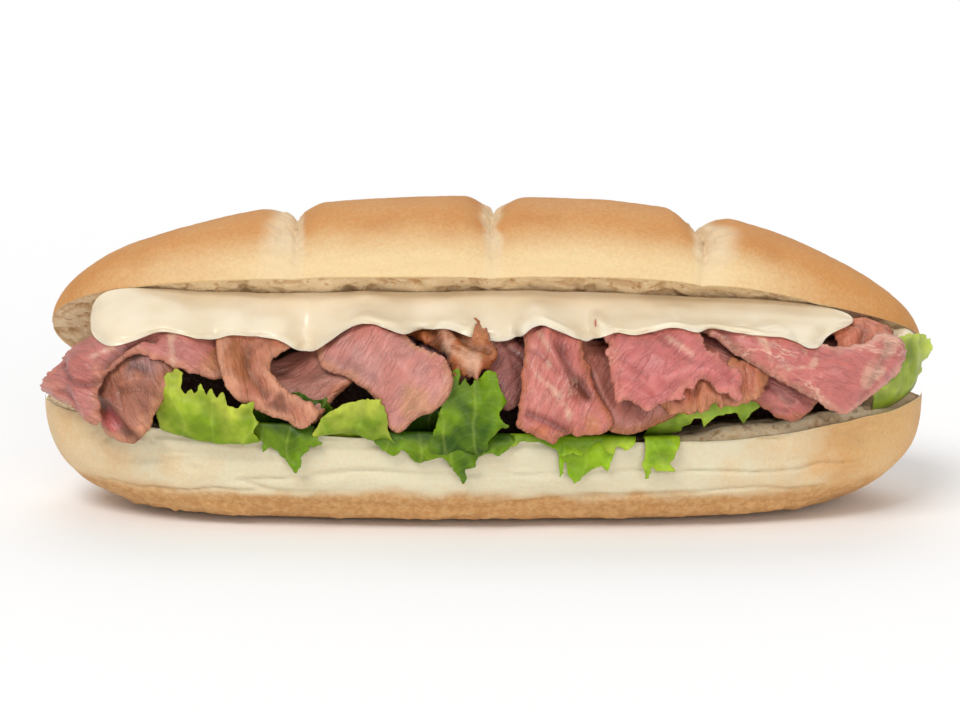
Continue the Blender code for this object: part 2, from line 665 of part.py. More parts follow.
def leaf_face(leaf, q, rise):
    """One face of a leaf: from its root on the heel's cut, over the lip, and on up or down to its frilly edge."""
    where, way, reach = smooth_line(leaf["edge"]).T
    way = np.radians(np.interp(q / MM, where, way))
    reach = np.interp(q / MM, where, reach) * MM * (1 + 0.14 * np.sin(q / MM * 2 * math.pi / 5.2))
    out_run = np.array([0.2, 0.4, 0.6, 0.8, 1.0]) * reach[:, None]
    turned = np.clip(out_run / 0.006, 0, 1)
    turned = turned * turned * (3 - 2 * turned)
    heading = math.radians(-35) + (way[:, None] + math.radians(35)) * turned
    step = np.diff(out_run, axis=1, prepend=0)
    out = np.cumsum(np.cos(heading) * step, axis=1)
    up = np.cumsum(np.sin(heading) * step, axis=1)
    px, py, nx, ny = lip_place(q)
    lip_out = 0.0010 + rise - leaf.get("inset", 0) * MM
    inner = np.array([lip_out - leaf.get("root", LEAF_ROOT) * MM, lip_out - 0.003, lip_out])
    out = np.concatenate([np.broadcast_to(inner, (len(q), 3)), lip_out + out], 1)
    lip_z = heel_cut_height(px)[:, None] + LEAF_GAP + rise
    up = np.concatenate([np.zeros((len(q), 3)), up], 1)
    ruffle = 0.0008 * np.sin(q / MM * 2 * math.pi / 9.2)[:, None] * np.clip(out / 0.006, 0, 1)
    out = out + ruffle
    x = px[:, None] + nx[:, None] * out
    y = py[:, None] + ny[:, None] * out
    return np.stack([x, y, lip_z + up], -1)


def add_leaf(name, leaf):
    where = [place for place, _, _ in leaf["edge"]]
    q = np.arange(where[0], where[-1] + 0.1, LEAF_STEP) * MM
    under = leaf_face(leaf, q, leaf["layer"] * (LEAF_THICKNESS + LEAF_GAP))
    across = np.gradient(under, axis=1)
    along = np.gradient(under, axis=0)
    normal = np.cross(along, across)
    normal /= np.linalg.norm(normal, axis=-1, keepdims=True)
    normal *= np.sign(normal[:, :1, 2:])
    over = under + normal * LEAF_THICKNESS
    rows, cols = under.shape[:2]
    points = np.concatenate([over.reshape(-1, 3), under.reshape(-1, 3)])
    lower = rows * cols
    faces = []
    for i in range(rows - 1):
        for j in range(cols - 1):
            a, b, c, d = i * cols + j, (i + 1) * cols + j, (i + 1) * cols + j + 1, i * cols + j + 1
            faces += [(a, b, c), (a, c, d)]
            faces += [(lower + a, lower + c, lower + b), (lower + a, lower + d, lower + c)]
    border = [i * cols for i in range(rows)] + [(rows - 1) * cols + j for j in range(1, cols)]
    border += [i * cols + cols - 1 for i in range(rows - 2, -1, -1)] + list(range(cols - 2, 0, -1))
    for a, b in zip(border, border[1:] + border[:1]):
        faces += [(a, b, lower + b), (a, lower + b, lower + a)]
    add_solid(name, points, faces, food_material(name, (0.22, 0.34, 0.04), 0.4))


def main():
    clear_scene()
    add_roll()
    add_inner_folds()
    add_mayonnaise(add_beef())
    for name, leaf in LETTUCE.items():
        add_leaf(name, leaf)


main()
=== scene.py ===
# Roast beef roll: the looks of its bread, mayonnaise, beef and lettuce, with its light and its camera.
# X runs along the roll, the open side faces -Y and +Z is up. Lengths are in metres, on the filling in mm.
import math

import bpy
import numpy as np
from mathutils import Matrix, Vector


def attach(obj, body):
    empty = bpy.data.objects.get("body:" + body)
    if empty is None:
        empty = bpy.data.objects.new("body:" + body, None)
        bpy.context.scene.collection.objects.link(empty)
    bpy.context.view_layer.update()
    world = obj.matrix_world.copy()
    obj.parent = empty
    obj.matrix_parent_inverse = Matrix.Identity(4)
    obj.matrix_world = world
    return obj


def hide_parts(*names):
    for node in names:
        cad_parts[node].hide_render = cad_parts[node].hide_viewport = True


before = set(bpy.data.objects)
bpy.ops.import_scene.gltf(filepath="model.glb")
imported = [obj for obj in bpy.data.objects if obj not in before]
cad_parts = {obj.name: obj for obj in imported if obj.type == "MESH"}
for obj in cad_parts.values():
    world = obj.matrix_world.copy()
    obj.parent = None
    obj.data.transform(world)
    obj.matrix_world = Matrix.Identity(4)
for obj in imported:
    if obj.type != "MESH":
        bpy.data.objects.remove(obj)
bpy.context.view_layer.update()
mm = 0.001
print("solids loaded:", len(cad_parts))


# shared tools


def linear(red, green, blue):
    # a colour as seen on a screen, 0 to 255, turned into light: ((c + 0.055) / 1.055) ^ 2.4
    c = np.array([red, green, blue]) / 255
    return np.where(c < 0.04045, c / 12.92, ((c + 0.055) / 1.055) ** 2.4)


def smoothStep(low, high, value):
    # 0 below low, 1 above high, 3t^2 - 2t^3 between
    t = np.clip((value - low) / (high - low), 0, 1)
    return t * t * (3 - 2 * t)


def softNoise(points, size, seed):
    # -1 to 1: random values on a cubic lattice `size` apart, blended with 6t^5 - 15t^4 + 10t^3
    p = np.asarray(points, float) / size + seed * 17.31
    cell = np.floor(p).astype(np.int64)
    t = p - cell
    t = t * t * t * (t * (6 * t - 15) + 10)
    total = 0
    for corner in range(8):
        step = np.array([corner & 1, corner >> 1 & 1, corner >> 2 & 1])
        q = cell + step
        mixed = (q[..., 0] * 73856093) ^ (q[..., 1] * 19349663) ^ (q[..., 2] * 83492791) ^ (seed * 7919 + 11)
        mixed = ((mixed & 0xFFFFFFF) ^ (mixed >> 13 & 0xFFFFF)) * 1274126177
        mixed = (mixed ^ (mixed >> 15)) & 0xFFFFF
        total = total + (mixed / 0x7FFFF - 1) * np.prod(np.where(step, t, 1 - t), axis=-1)
    return total


def layeredNoise(points, size, layers, seed):
    # each layer is half as wide and half as strong as the one before it
    return sum(softNoise(points, size / 2**k, seed + k) / 2**k for k in range(layers))


def curveThrough(points, closed=False, steps=10):
    # Catmull-Rom: 0.5 (2b + (c - a) t + (2a - 5b + 4c - d) t^2 + (3b - a - 3c + d) t^3)
    p = np.array(points, float)
    if closed:
        p = np.concatenate([p[-1:], p, p[:2]])
    else:
        p = np.concatenate([2 * p[:1] - p[1:2], p, 2 * p[-1:] - p[-2:-1]])
    t = np.linspace(0, 1, steps, endpoint=False)[None, :, None]
    a, b, c, d = p[:-3, None], p[1:-2, None], p[2:-1, None], p[3:, None]
    line = 0.5 * (2 * b + (c - a) * t + (2 * a - 5 * b + 4 * c - d) * t**2 + (3 * b - a - 3 * c + d) * t**3)
    line = line.reshape(-1, p.shape[1])
    return line if closed else np.concatenate([line, p[-2:-1]])


def along(table, x):
    # the smooth curve through a table of (place, value), read at x
    line = curveThrough(table)
    return np.interp(x, line[:, 0], line[:, 1])


def lineRun(*columns):
    # how far along a line of points each lies, from its coordinates' columns
    return np.concatenate([[0], np.cumsum(np.hypot(*map(np.diff, columns)))])


def blurred(field, sigma, axis):
    # a Gaussian mean along one axis, sigma in cells, with the border values going on
    reach = int(3 * sigma + 1)
    weight = np.exp(-0.5 * (np.arange(-reach, reach + 1) / sigma) ** 2)
    weight /= weight.sum()
    pad = [(reach, reach) if k == axis else (0, 0) for k in range(field.ndim)]
    wide = np.pad(field, pad, mode="edge")
    count = field.shape[axis]
    return sum(w * np.take(wide, np.arange(k, k + count), axis) for k, w in enumerate(weight))


def gridFaces(rows, columns, wrap=False, start=0):
    # the quads of a grid of points, row by row; wrap joins the last column to the first
    i, j = np.meshgrid(np.arange(rows - 1), np.arange(columns if wrap else columns - 1), indexing="ij")
    a = start + i * columns + j
    b = start + i * columns + (j + 1) % columns
    return np.stack([a, b, b + columns, a + columns], -1).reshape(-1, 4)


def surfaceNormals(grid):
    # the cross product of a grid's two directions, one long
    n = np.cross(np.gradient(grid, axis=0), np.gradient(grid, axis=1))
    return n / np.maximum(np.linalg.norm(n, axis=-1, keepdims=True), 1e-12)


def addPiece(name, points, faceSets, material, replaced, marks=None):
    # a closed mesh from arrays of quads and triangles, its faces turned so that its volume is above zero
    points = np.asarray(points, float)
    volume = 0
    for faces in faceSets:
        corners = points[faces]
        for k in range(1, faces.shape[1] - 1):
            volume += (corners[:, 0] * np.cross(corners[:, k], corners[:, k + 1])).sum()
    if volume < 0:
        faceSets = [faces[:, ::-1] for faces in faceSets]
    mesh = bpy.data.meshes.new(name)
    mesh.vertices.add(len(points))
    mesh.vertices.foreach_set("co", points.astype(np.float32).ravel())
    loops = np.concatenate([faces.ravel() for faces in faceSets])
    sizes = np.concatenate([np.full(len(faces), faces.shape[1]) for faces in faceSets])
    mesh.loops.add(len(loops))
    mesh.loops.foreach_set("vertex_index", loops.astype(np.int32))
    mesh.polygons.add(len(sizes))
    mesh.polygons.foreach_set("loop_start", (np.cumsum(sizes) - sizes).astype(np.int32))
    mesh.polygons.foreach_set("use_smooth", np.ones(len(sizes), bool))
    mesh.update(calc_edges=True)
    mesh.validate()
    for mark, values in (marks or {}).items():
        values = np.asarray(values, np.float32)
        if mark == "lay":
            mesh.attributes.new(mark, "FLOAT_VECTOR", "POINT").data.foreach_set("vector", values.ravel())
        elif values.ndim == 2:
            colour = mesh.attributes.new(mark, "FLOAT_COLOR", "POINT")
            opaque = np.ones((len(values), 1), np.float32)
            colour.data.foreach_set("color", np.concatenate([values, opaque], 1).ravel())
        else:
            mesh.attributes.new(mark, "FLOAT", "POINT").data.foreach_set("value", values)
    mesh.materials.append(material)
    piece = bpy.data.objects.new(name, mesh)
    bpy.context.scene.collection.objects.link(piece)
    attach(piece, "root")
    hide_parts(*replaced)


def ringSkin(rings):
    # points and faces of a skin through closed rings, drawn to a point at both ends
    count, around = rings.shape[:2]
    tips = np.stack([rings[0].mean(0), rings[-1].mean(0)])
    points = np.concatenate([rings.reshape(-1, 3), tips])
    j = np.arange(around)
    k = (j + 1) % around
    last = (count - 1) * around
    ends = [
        np.stack([k, j, np.full(around, count * around)], -1),
        np.stack([last + j, last + k, np.full(around, count * around + 1)], -1),
    ]
    return points, [gridFaces(count, around, wrap=True), np.concatenate(ends)]


def cutSheet(reach, u, v, spacing):
    # the part of a grid of places that lies inside an outline: the places used, its quads, the edges and
    # points of its rim, the places themselves with the rim's moved onto the outline, and the way inwards
    near = reach > -0.7 * spacing
    cell = near[:-1, :-1] & near[1:, :-1] & near[1:, 1:] & near[:-1, 1:]
    index = np.arange(u.size).reshape(u.shape)
    quads = np.stack([index[:-1, :-1], index[1:, :-1], index[1:, 1:], index[:-1, 1:]], -1)[cell]
    edges = np.concatenate([quads[:, [k, (k + 1) % 4]] for k in range(4)])
    keys = np.sort(edges, axis=1) @ np.array([u.size, 1])
    _, where, counts = np.unique(keys, return_index=True, return_counts=True)
    rim = edges[where[counts == 1]]
    used = np.unique(quads)
    lookup = np.full(u.size, -1)
    lookup[used] = np.arange(len(used))
    quads, rim = lookup[quads], lookup[rim]
    onRim = np.unique(rim)
    slopeU, slopeV = np.gradient(blurred(blurred(reach, 1, 0), 1, 1), spacing)
    steep = np.maximum(slopeU**2 + slopeV**2, 0.25)
    inward = np.stack([(slopeU / steep).ravel()[used], (slopeV / steep).ravel()[used]], -1)
    shift = np.zeros(len(used))
    shift[onRim] = np.clip(reach.ravel()[used][onRim], -0.9 * spacing, 0.9 * spacing)
    places = np.stack([u.ravel()[used], v.ravel()[used]], -1) - inward * shift[:, None]
    return used, quads, rim, onRim, places, inward


def sheetShell(upper, lower, middle, quads, rim, onRim):
    # points and faces of a closed sheet: its two faces, and a rounded edge through the points beside its rim
    count = len(upper)
    place = np.full(count, -1)
    place[onRim] = np.arange(len(onRim)) + 2 * count
    a, b = rim.T
    walls = [
        np.stack([b, a, place[a], place[b]], -1),
        np.stack([place[b], place[a], a + count, b + count], -1),
    ]
    return np.concatenate([upper, lower, middle]), [quads, quads[:, ::-1] + count, *walls]


def withTips(values):
    # marks of a ringSkin's points: those of its rings, and for each tip the mean of its ring
    flat = values.reshape(-1, *values.shape[2:])
    return np.concatenate([flat, values[:1].mean(1), values[-1:].mean(1)])


# tools for the finishes


def newFinish(name, settings):
    # a material whose shader has these numbers and colours on its own sockets
    material = bpy.data.materials.new(name)
    material.use_nodes = True
    shader = material.node_tree.nodes["Principled BSDF"]
    for socket, value in settings.items():
        shader.inputs[socket].default_value = value
    return material, material.node_tree, shader


def readMark(tree, mark, output="Fac"):
    # a piece's own attribute
    node = tree.nodes.new("ShaderNodeAttribute")
    node.attribute_name = mark
    return node.outputs[output]


def objectPlace(tree, stretch=(1, 1, 1)):
    # Object coordinates, in metres, drawn out by a factor along each axis
    place = tree.nodes.new("ShaderNodeTexCoord")
    mapping = tree.nodes.new("ShaderNodeMapping")
    mapping.inputs["Scale"].default_value = stretch
    tree.links.new(place.outputs["Object"], mapping.inputs["Vector"])
    return mapping.outputs["Vector"]


def speckle(tree, place, size, detail=2.0, rough=0.5):
    # noise whose grains are about `size` metres wide
    node = tree.nodes.new("ShaderNodeTexNoise")
    node.inputs["Scale"].default_value = 1 / size
    node.inputs["Detail"].default_value = detail
    node.inputs["Roughness"].default_value = rough
    tree.links.new(place, node.inputs["Vector"])
    return node.outputs["Fac"]


def remap(tree, value, low, high, to=(0, 1)):
    # low to high carried over to the range `to`, and held at its ends
    node = tree.nodes.new("ShaderNodeMapRange")
    for socket, number in zip(("From Min", "From Max", "To Min", "To Max"), (low, high, *to)):
        node.inputs[socket].default_value = number
    tree.links.new(value, node.inputs["Value"])
    return node.outputs["Result"]


def mixed(tree, share, a, b, blend="MIX"):
    # two colours mixed by a share; either may be a socket or three numbers
    node = tree.nodes.new("ShaderNodeMix")
    node.data_type = "RGBA"
    node.blend_type = blend
    for k, value in ((0, share), (6, a), (7, b)):
        if isinstance(value, bpy.types.NodeSocket):
            tree.links.new(value, node.inputs[k])
        elif k:
            node.inputs[k].default_value = (*value, 1)
        else:
            node.inputs[k].default_value = value
    return node.outputs[2]


def combine(tree, operation, a, b):
    # one sum of two values; either may be a socket or a number
    node = tree.nodes.new("ShaderNodeMath")
    node.operation = operation
    for k, value in enumerate((a, b)):
        if isinstance(value, bpy.types.NodeSocket):
            tree.links.new(value, node.inputs[k])
        else:
            node.inputs[k].default_value = value
    return node.outputs[0]


def roughen(tree, shader, height, depth, strength):
    # fine relief that the mesh is too coarse for: a bump `depth` metres high where the height is 1
    bump = tree.nodes.new("ShaderNodeBump")
    bump.inputs["Distance"].default_value = depth
    bump.inputs["Strength"].default_value = strength
    tree.links.new(height, bump.inputs["Height"])
    tree.links.new(bump.outputs["Normal"], shader.inputs["Normal"])


# the bread

bread = {
    # squareness shapes the sections, and plan and side are the powers that round the ends in each view
    "heel": {
        "halfLength": 0.1005, "halfWidth": 0.0330, "cutHeight": 0.0197, "cutRise": 0.0040, "depth": 0.0212,
        "squareness": 2.9, "plan": (3.2, 2.2), "side": (8.0, 2.2),
    },
    "crown": {
        "halfLength": 0.0983, "shift": -0.0010, "halfWidth": 0.0315, "height": 0.0317, "curl": 0.0030,
        "opening": math.radians(37), "rightCloses": math.radians(3), "hingeY": 0.0285, "hingeZ": 0.0202,
        "inset": 0.0040, "squareness": 2.25, "plan": (3.4, 2.1), "side": (2.3, 1.8),
    },
    # each baker's cut: its place and depth, how wide its left and right banks are, and how far they are pale
    "scores": [
        {"at": -0.0415, "deep": 0.0030, "banks": (0.0085, 0.0065), "pale": (0.0060, 0.0016)},
        {"at": 0.0032, "deep": 0.0036, "banks": (0.0070, 0.0070), "pale": (0.0022, 0.0024)},
        {"at": 0.0500, "deep": 0.0046, "banks": (0.0070, 0.0085), "pale": (0.0020, 0.0058)},
    ],
    "web": {"halfLength": 0.0915, "thickness": 0.0055, "sunk": 0.0015},
    # how far the crown's right end reaches out and droops
    "rightEnd": (0.0034, 0.0036),
    # how far the heel's lip stands up at its front, along the roll in mm, and the crumb behind its right
    "lipRise": [
        (-100, 1.6), (-75, 2.0), (-60, 2.6), (-44, 2.9), (-22, 2.1), (4, 1.7), (30, 1.1), (50, 0.8),
        (73, 1.7), (86, 2.3), (100, 2.4),
    ],
    "crumbRise": 0.0032,
    "creaseDepth": 0.0011,
    "creaseWidth": 0.00055,
    # how pale the crown's low front is, along the roll in mm
    "paleFront": [
        (-98, 0.05), (-84, 0.25), (-66, 0.7), (-40, 1), (0, 1), (40, 1), (56, 0.9), (72, 0.45), (88, 0.1),
        (98, 0),
    ],
    "golden": linear(204, 143, 80),
    "deepGolden": linear(182, 114, 56),
    "cream": linear(229, 201, 152),
    "heelPale": linear(219, 210, 180),
    "heelGolden": linear(218, 172, 112),
    "heelBase": linear(190, 140, 84),
    "baseFlour": linear(208, 164, 110),
    "tornCrust": linear(230, 210, 174),
    "crumb": linear(230, 198, 152),
    "crumbPale": linear(238, 220, 188),
    "poreShade": linear(190, 146, 94),
    "toastedCrumb": linear(178, 122, 66),
}


def taper(x, halfLength, power, root):
    # (1 - |x / L|^power)^(1 / root)
    return np.clip(1 - np.abs(x / halfLength) ** power, 0, None) ** (1 / root)


def halfWidthAt(loaf, x):
    # half the width of the heel or the crown as seen from above
    return loaf["halfWidth"] * taper(x, loaf["halfLength"], *loaf["plan"])


def loafRows(halfLength, count):
    # places along a loaf, closer together towards its ends: L (1 - (1 - |t|)^1.4)
    t = np.linspace(-1, 1, count + 2)[1:-1]
    return halfLength * np.sign(t) * (1 - (1 - np.abs(t)) ** 1.4)


def superEllipse(turn, squareness):
    # across = -cos^(2 / n) with cos's own sign, up = sin^(2 / n)
    across = -np.sign(np.cos(turn)) * np.abs(np.cos(turn)) ** (2 / squareness)
    return across, np.abs(np.sin(turn)) ** (2 / squareness)


def domeTurns(count, squareness, frontShare):
    # turns round a superellipse from front to back, evenly along its line, with frontShare of them in front
    turn = np.linspace(0, math.pi, 4001)
    run = lineRun(*superEllipse(turn, squareness))
    front = round(count * frontShare)
    steps = np.concatenate([np.linspace(0, 0.5, front, endpoint=False), np.linspace(0.5, 1, count - front)])
    return np.interp(steps * run[-1], run, turn)


def openingAt(x):
    # the crown gapes a little less towards its right end
    return bread["crown"]["opening"] - bread["crown"]["rightCloses"] * smoothStep(0.025, 0.085, x)


def opened(across, up, x):
    # the crown tipped back on the hinge: turned by the opening angle about the hinge, its ends curling up
    c = bread["crown"]
    out = across - (c["halfWidth"] - c["inset"])
    curl = c["curl"] * np.abs(x / c["halfLength"]) ** 4
    angle = openingAt(x)
    y = c["hingeY"] + out * np.cos(angle) + up * np.sin(angle)
    z = c["hingeZ"] - out * np.sin(angle) + up * np.cos(angle) + curl
    return y, z


def scoreShape(x, turn, up):
    # how deep the cuts sink the crust, and how pale they leave it
    deep = np.zeros(np.broadcast(x, turn).shape)
    pale = np.zeros_like(deep)
    for k, cut in enumerate(bread["scores"]):
        line = np.stack(np.broadcast_arrays(turn * 0.02, k * 0.3, 0.0), -1)
        centre = cut["at"] + 0.0009 * layeredNoise(line, 0.012, 3, 5 + k)
        off = x - centre
        side = np.where(off < 0, *cut["banks"])
        near = np.clip(1 - np.abs(off) / side, 0, 1)
        crease = bread["creaseDepth"] * np.exp(-((off / bread["creaseWidth"]) ** 2))
        deep = np.maximum(deep, cut["deep"] * near**1.6 + crease)
        ragged = 1 + 0.35 * layeredNoise(line, 0.006, 2, 30 + k)
        reach = np.where(off < 0, *cut["pale"]) * ragged
        pale = np.maximum(pale, 1 - smoothStep(0.55, 1.45, np.abs(off) / reach))
    return deep * np.clip(up * 1.6, 0.25, 1), pale * np.clip(up * 3, 0.4, 1)


def crumbRelief(points, edgeRun):
    # torn crumb: it sinks below the crust's edge, and is full of pores of about 1 to 3 mm
    sunk = 0.0007 * smoothStep(0.0002, 0.0016, edgeRun)
    pores = np.clip(layeredNoise(points, 0.0026, 3, 41) - 0.05, 0, None) ** 1.2
    torn = layeredNoise(points, 0.008, 3, 44)
    return -(sunk + (0.0009 * pores + 0.0005 * torn) * smoothStep(0.0002, 0.0012, edgeRun)), pores


def drawnOut(x):
    # the share of its reach and drop that the crown has at x: it rises smoothly from 0 to 1 at the right
    return smoothStep(0.058, 0.095, x)


def edgeDistance(places):
    # how far places across a cut lie from the nearer of its two edges
    return np.minimum(places - places.min(1, keepdims=True), places.max(1, keepdims=True) - places)


def cutShare(count):
    # shares of the way across a cut from its back, closer together at its front: 1 - (1 - t)^1.9
    return 1 - (1 - np.linspace(0, 1, count)[1:-1][None, :]) ** 1.9


def breadMarks(bake, torn, base, edgeRun, pores):
    # marks of a loaf's skin: the crust's are 0 on the cut, and the crumb's are 0 on the crust
    crust, cut = np.zeros(bake.shape), np.zeros(pores.shape)
    marks = {
        "bake": (bake, cut), "torn": (torn, cut), "crumb": (crust, smoothStep(0.0003, 0.0008, edgeRun)),
        "pore": (crust, pores), "base": (base, cut),
    }
    return {mark: withTips(np.concatenate(pair, 1)) for mark, pair in marks.items()}


def makeCrown():
    # sections (width across, height up) along the roll, less the baker's cuts, turned open about the hinge
    c = bread["crown"]
    x = loafRows(c["halfLength"], 392)[:, None]
    turn = domeTurns(170, c["squareness"], 0.62)[None, :]
    across, up = superEllipse(turn, c["squareness"])
    deep, pale = scoreShape(x, turn, up)
    width = halfWidthAt(c, x)
    height = c["height"] * taper(x, c["halfLength"], *c["side"])
    domeAcross, domeUp = (width - deep) * across, (height - deep) * up
    share = cutShare(72)
    cutAcross = domeAcross[:, -1:] + (domeAcross[:, :1] - domeAcross[:, -1:]) * share
    cutUp = domeUp[:, -1:] + (domeUp[:, :1] - domeUp[:, -1:]) * share
    allAcross = np.concatenate([domeAcross, cutAcross], 1)
    allUp = np.concatenate([domeUp, cutUp], 1)
    y, z = opened(allAcross, allUp, x)
    reach, drop = (most * drawnOut(x) for most in bread["rightEnd"])
    rings = np.stack([np.broadcast_to(x + c["shift"] + reach, y.shape), y, z - drop], -1)
    domeNormal = surfaceNormals(rings[:, : turn.shape[1]])
    domeNormal *= np.sign((domeNormal[200, 85] * np.array([0, 0.6, 0.8])).sum())
    angle = openingAt(x)
    cutNormal = np.stack([0 * angle, -np.sin(angle), -np.cos(angle)], -1)
    dome = rings[:, : turn.shape[1]]
    cut = rings[:, turn.shape[1] :]
    # the crust swells and dips a little, is finely wrinkled low on its sides, and has tiny blisters on top
    swell = 0.00035 * layeredNoise(dome, 0.022, 2, 1)
    low = 1 - smoothStep(0.25, 0.7, np.broadcast_to(up, swell.shape))
    stretched = dome * np.array([0.35, 1.6, 1.6])
    wrinkle = 0.00016 * layeredNoise(stretched, 0.0040, 3, 7) * (0.25 + low)
    blister = 0.00006 * softNoise(dome, 0.0011, 9)
    torn = 0.0005 * layeredNoise(dome, 0.0022, 3, 12) * pale
    ends = np.clip(taper(x, c["halfLength"], *c["plan"]) * 2, 0, 1)
    dome = dome + domeNormal * ((swell + wrinkle + blister + torn) * ends)[..., None]
    edgeRun = edgeDistance(cutAcross)
    relief, pores = crumbRelief(cut, edgeRun)
    cut = cut + cutNormal * (relief * ends)[..., None]
    bake = smoothStep(0.10, 0.56, np.broadcast_to(up, swell.shape))
    paleness = along(bread["paleFront"], x / mm)
    bake = np.clip(1 - (1 - bake) * paleness + 0.10 * layeredNoise(dome, 0.016, 3, 3), 0, 1)
    backShade = smoothStep(2.0, 2.9, turn) * np.ones_like(bake)
    bake = np.clip(bake + 0.35 * backShade, 0, 1)
    marks = breadMarks(bake, pale, 0 * bake, edgeRun, pores)
    points, faces = ringSkin(np.concatenate([dome, cut], 1))
    addPiece("crown", points, faces, breadFinish, ["roll"], marks)


def cutHeight(x):
    # the heel's cut face rises towards its ends: h + r |x / L|^3
    h = bread["heel"]
    return h["cutHeight"] + h["cutRise"] * np.abs(x / h["halfLength"]) ** 3


def lipRise(x):
    # how far the heel's front lip stands above its cut
    return along(bread["lipRise"], x / mm) * mm


def makeHeel():
    # sections (width across, depth down) below the cut, flat at the base, with a raised lip at the front
    h = bread["heel"]
    x = loafRows(h["halfLength"], 380)[:, None]
    turn = domeTurns(150, h["squareness"], 0.62)[None, :]
    across, down = superEllipse(turn, h["squareness"])
    width = halfWidthAt(h, x)
    depth = h["depth"] * taper(x, h["halfLength"], *h["side"])
    outerY = width * across
    outerZ = np.maximum(cutHeight(x) - depth * down, 0)
    wavy = 0.0007 * layeredNoise(np.stack([x, 0 * x, 0 * x], -1), 0.016, 3, 52)
    lip = lipRise(x) + wavy * smoothStep(0.100, 0.090, np.abs(x))
    outerZ = outerZ + lip * smoothStep(0.15, 0.75, -across) * smoothStep(0.012, 0.001, cutHeight(x) - outerZ)
    share = cutShare(74)
    cutY = outerY[:, -1:] + (outerY[:, :1] - outerY[:, -1:]) * share
    inside = smoothStep(0.011, 0.0, cutY - cutY[:, -1:]) * smoothStep(0.0, 0.010, width)
    # at its right the crumb swells up behind the lip
    fromFront = cutY - cutY[:, -1:]
    swollen = smoothStep(0.0005, 0.0050, fromFront) * smoothStep(0.020, 0.009, fromFront)
    crumbRise = bread["crumbRise"] * smoothStep(0.036, 0.056, x) * smoothStep(0.097, 0.085, x)
    cutZ = cutHeight(x) + lip * inside + crumbRise * swollen
    outer = np.stack([np.broadcast_to(x, outerY.shape), outerY, outerZ], -1)
    cut = np.stack([np.broadcast_to(x, cutY.shape), cutY, cutZ], -1)
    normal = surfaceNormals(outer)
    normal *= -np.sign(normal[190, 75, 2])
    ends = np.clip(taper(x, h["halfLength"], *h["plan"]) * 2, 0, 1)
    aside = smoothStep(0.0006, 0.0030, outerZ)
    # soft dents, creases that run along the side, and a rough flange round the base
    swell = 0.0006 * layeredNoise(outer * np.array([0.7, 1, 1]), 0.015, 3, 51)
    run = layeredNoise(outer * np.array([0.08, 1.0, 1.0]), 0.0060, 3, 55)
    crease = -0.00070 * np.exp(-((run / 0.15) ** 2)) * smoothStep(0.0040, 0.0075, outerZ)
    crease = crease * smoothStep(0.098, 0.070, np.abs(x))
    fine = 0.00010 * layeredNoise(outer * np.array([0.5, 1.0, 1.0]), 0.0020, 3, 58)
    flangeLine = 0.0036 + 0.0012 * layeredNoise(outer * np.array([1, 1, 0]), 0.020, 3, 61)
    flange = 0.0007 * smoothStep(flangeLine + 0.0012, flangeLine - 0.0004, outerZ)
    low = smoothStep(flangeLine + 0.0008, flangeLine - 0.0004, outerZ)
    rough = 0.00035 * layeredNoise(outer, 0.0022, 3, 64) * low
    outer = outer + normal * ((swell + crease + fine + flange + rough) * ends * aside)[..., None]
    edgeRun = edgeDistance(cutY)
    relief, pores = crumbRelief(cut, edgeRun)
    cut = cut + np.array([0, 0, 1.0]) * (relief * ends)[..., None]
    ripple = layeredNoise(outer, 0.010, 3, 67)
    base = smoothStep(0.0105, 0.0070, outerZ + 0.0016 * ripple)
    ends = smoothStep(0.052, 0.094, np.abs(x) + 0.008 * ripple)
    bake = ends * (0.55 + 0.35 * smoothStep(-0.04, 0.04, x)) + 0.10 * (ripple + 0.4)
    # its back is painted browner as painted shade, as backShade does on the crown
    bake = np.clip(bake + 0.35 * smoothStep(1.9, 2.8, turn), 0, 1)
    marks = breadMarks(bake, 0 * bake, base, edgeRun, pores)
    points, faces = ringSkin(np.concatenate([outer, cut], 1))
    addPiece("heel", points, faces, heelFinish, ["roll"], marks)


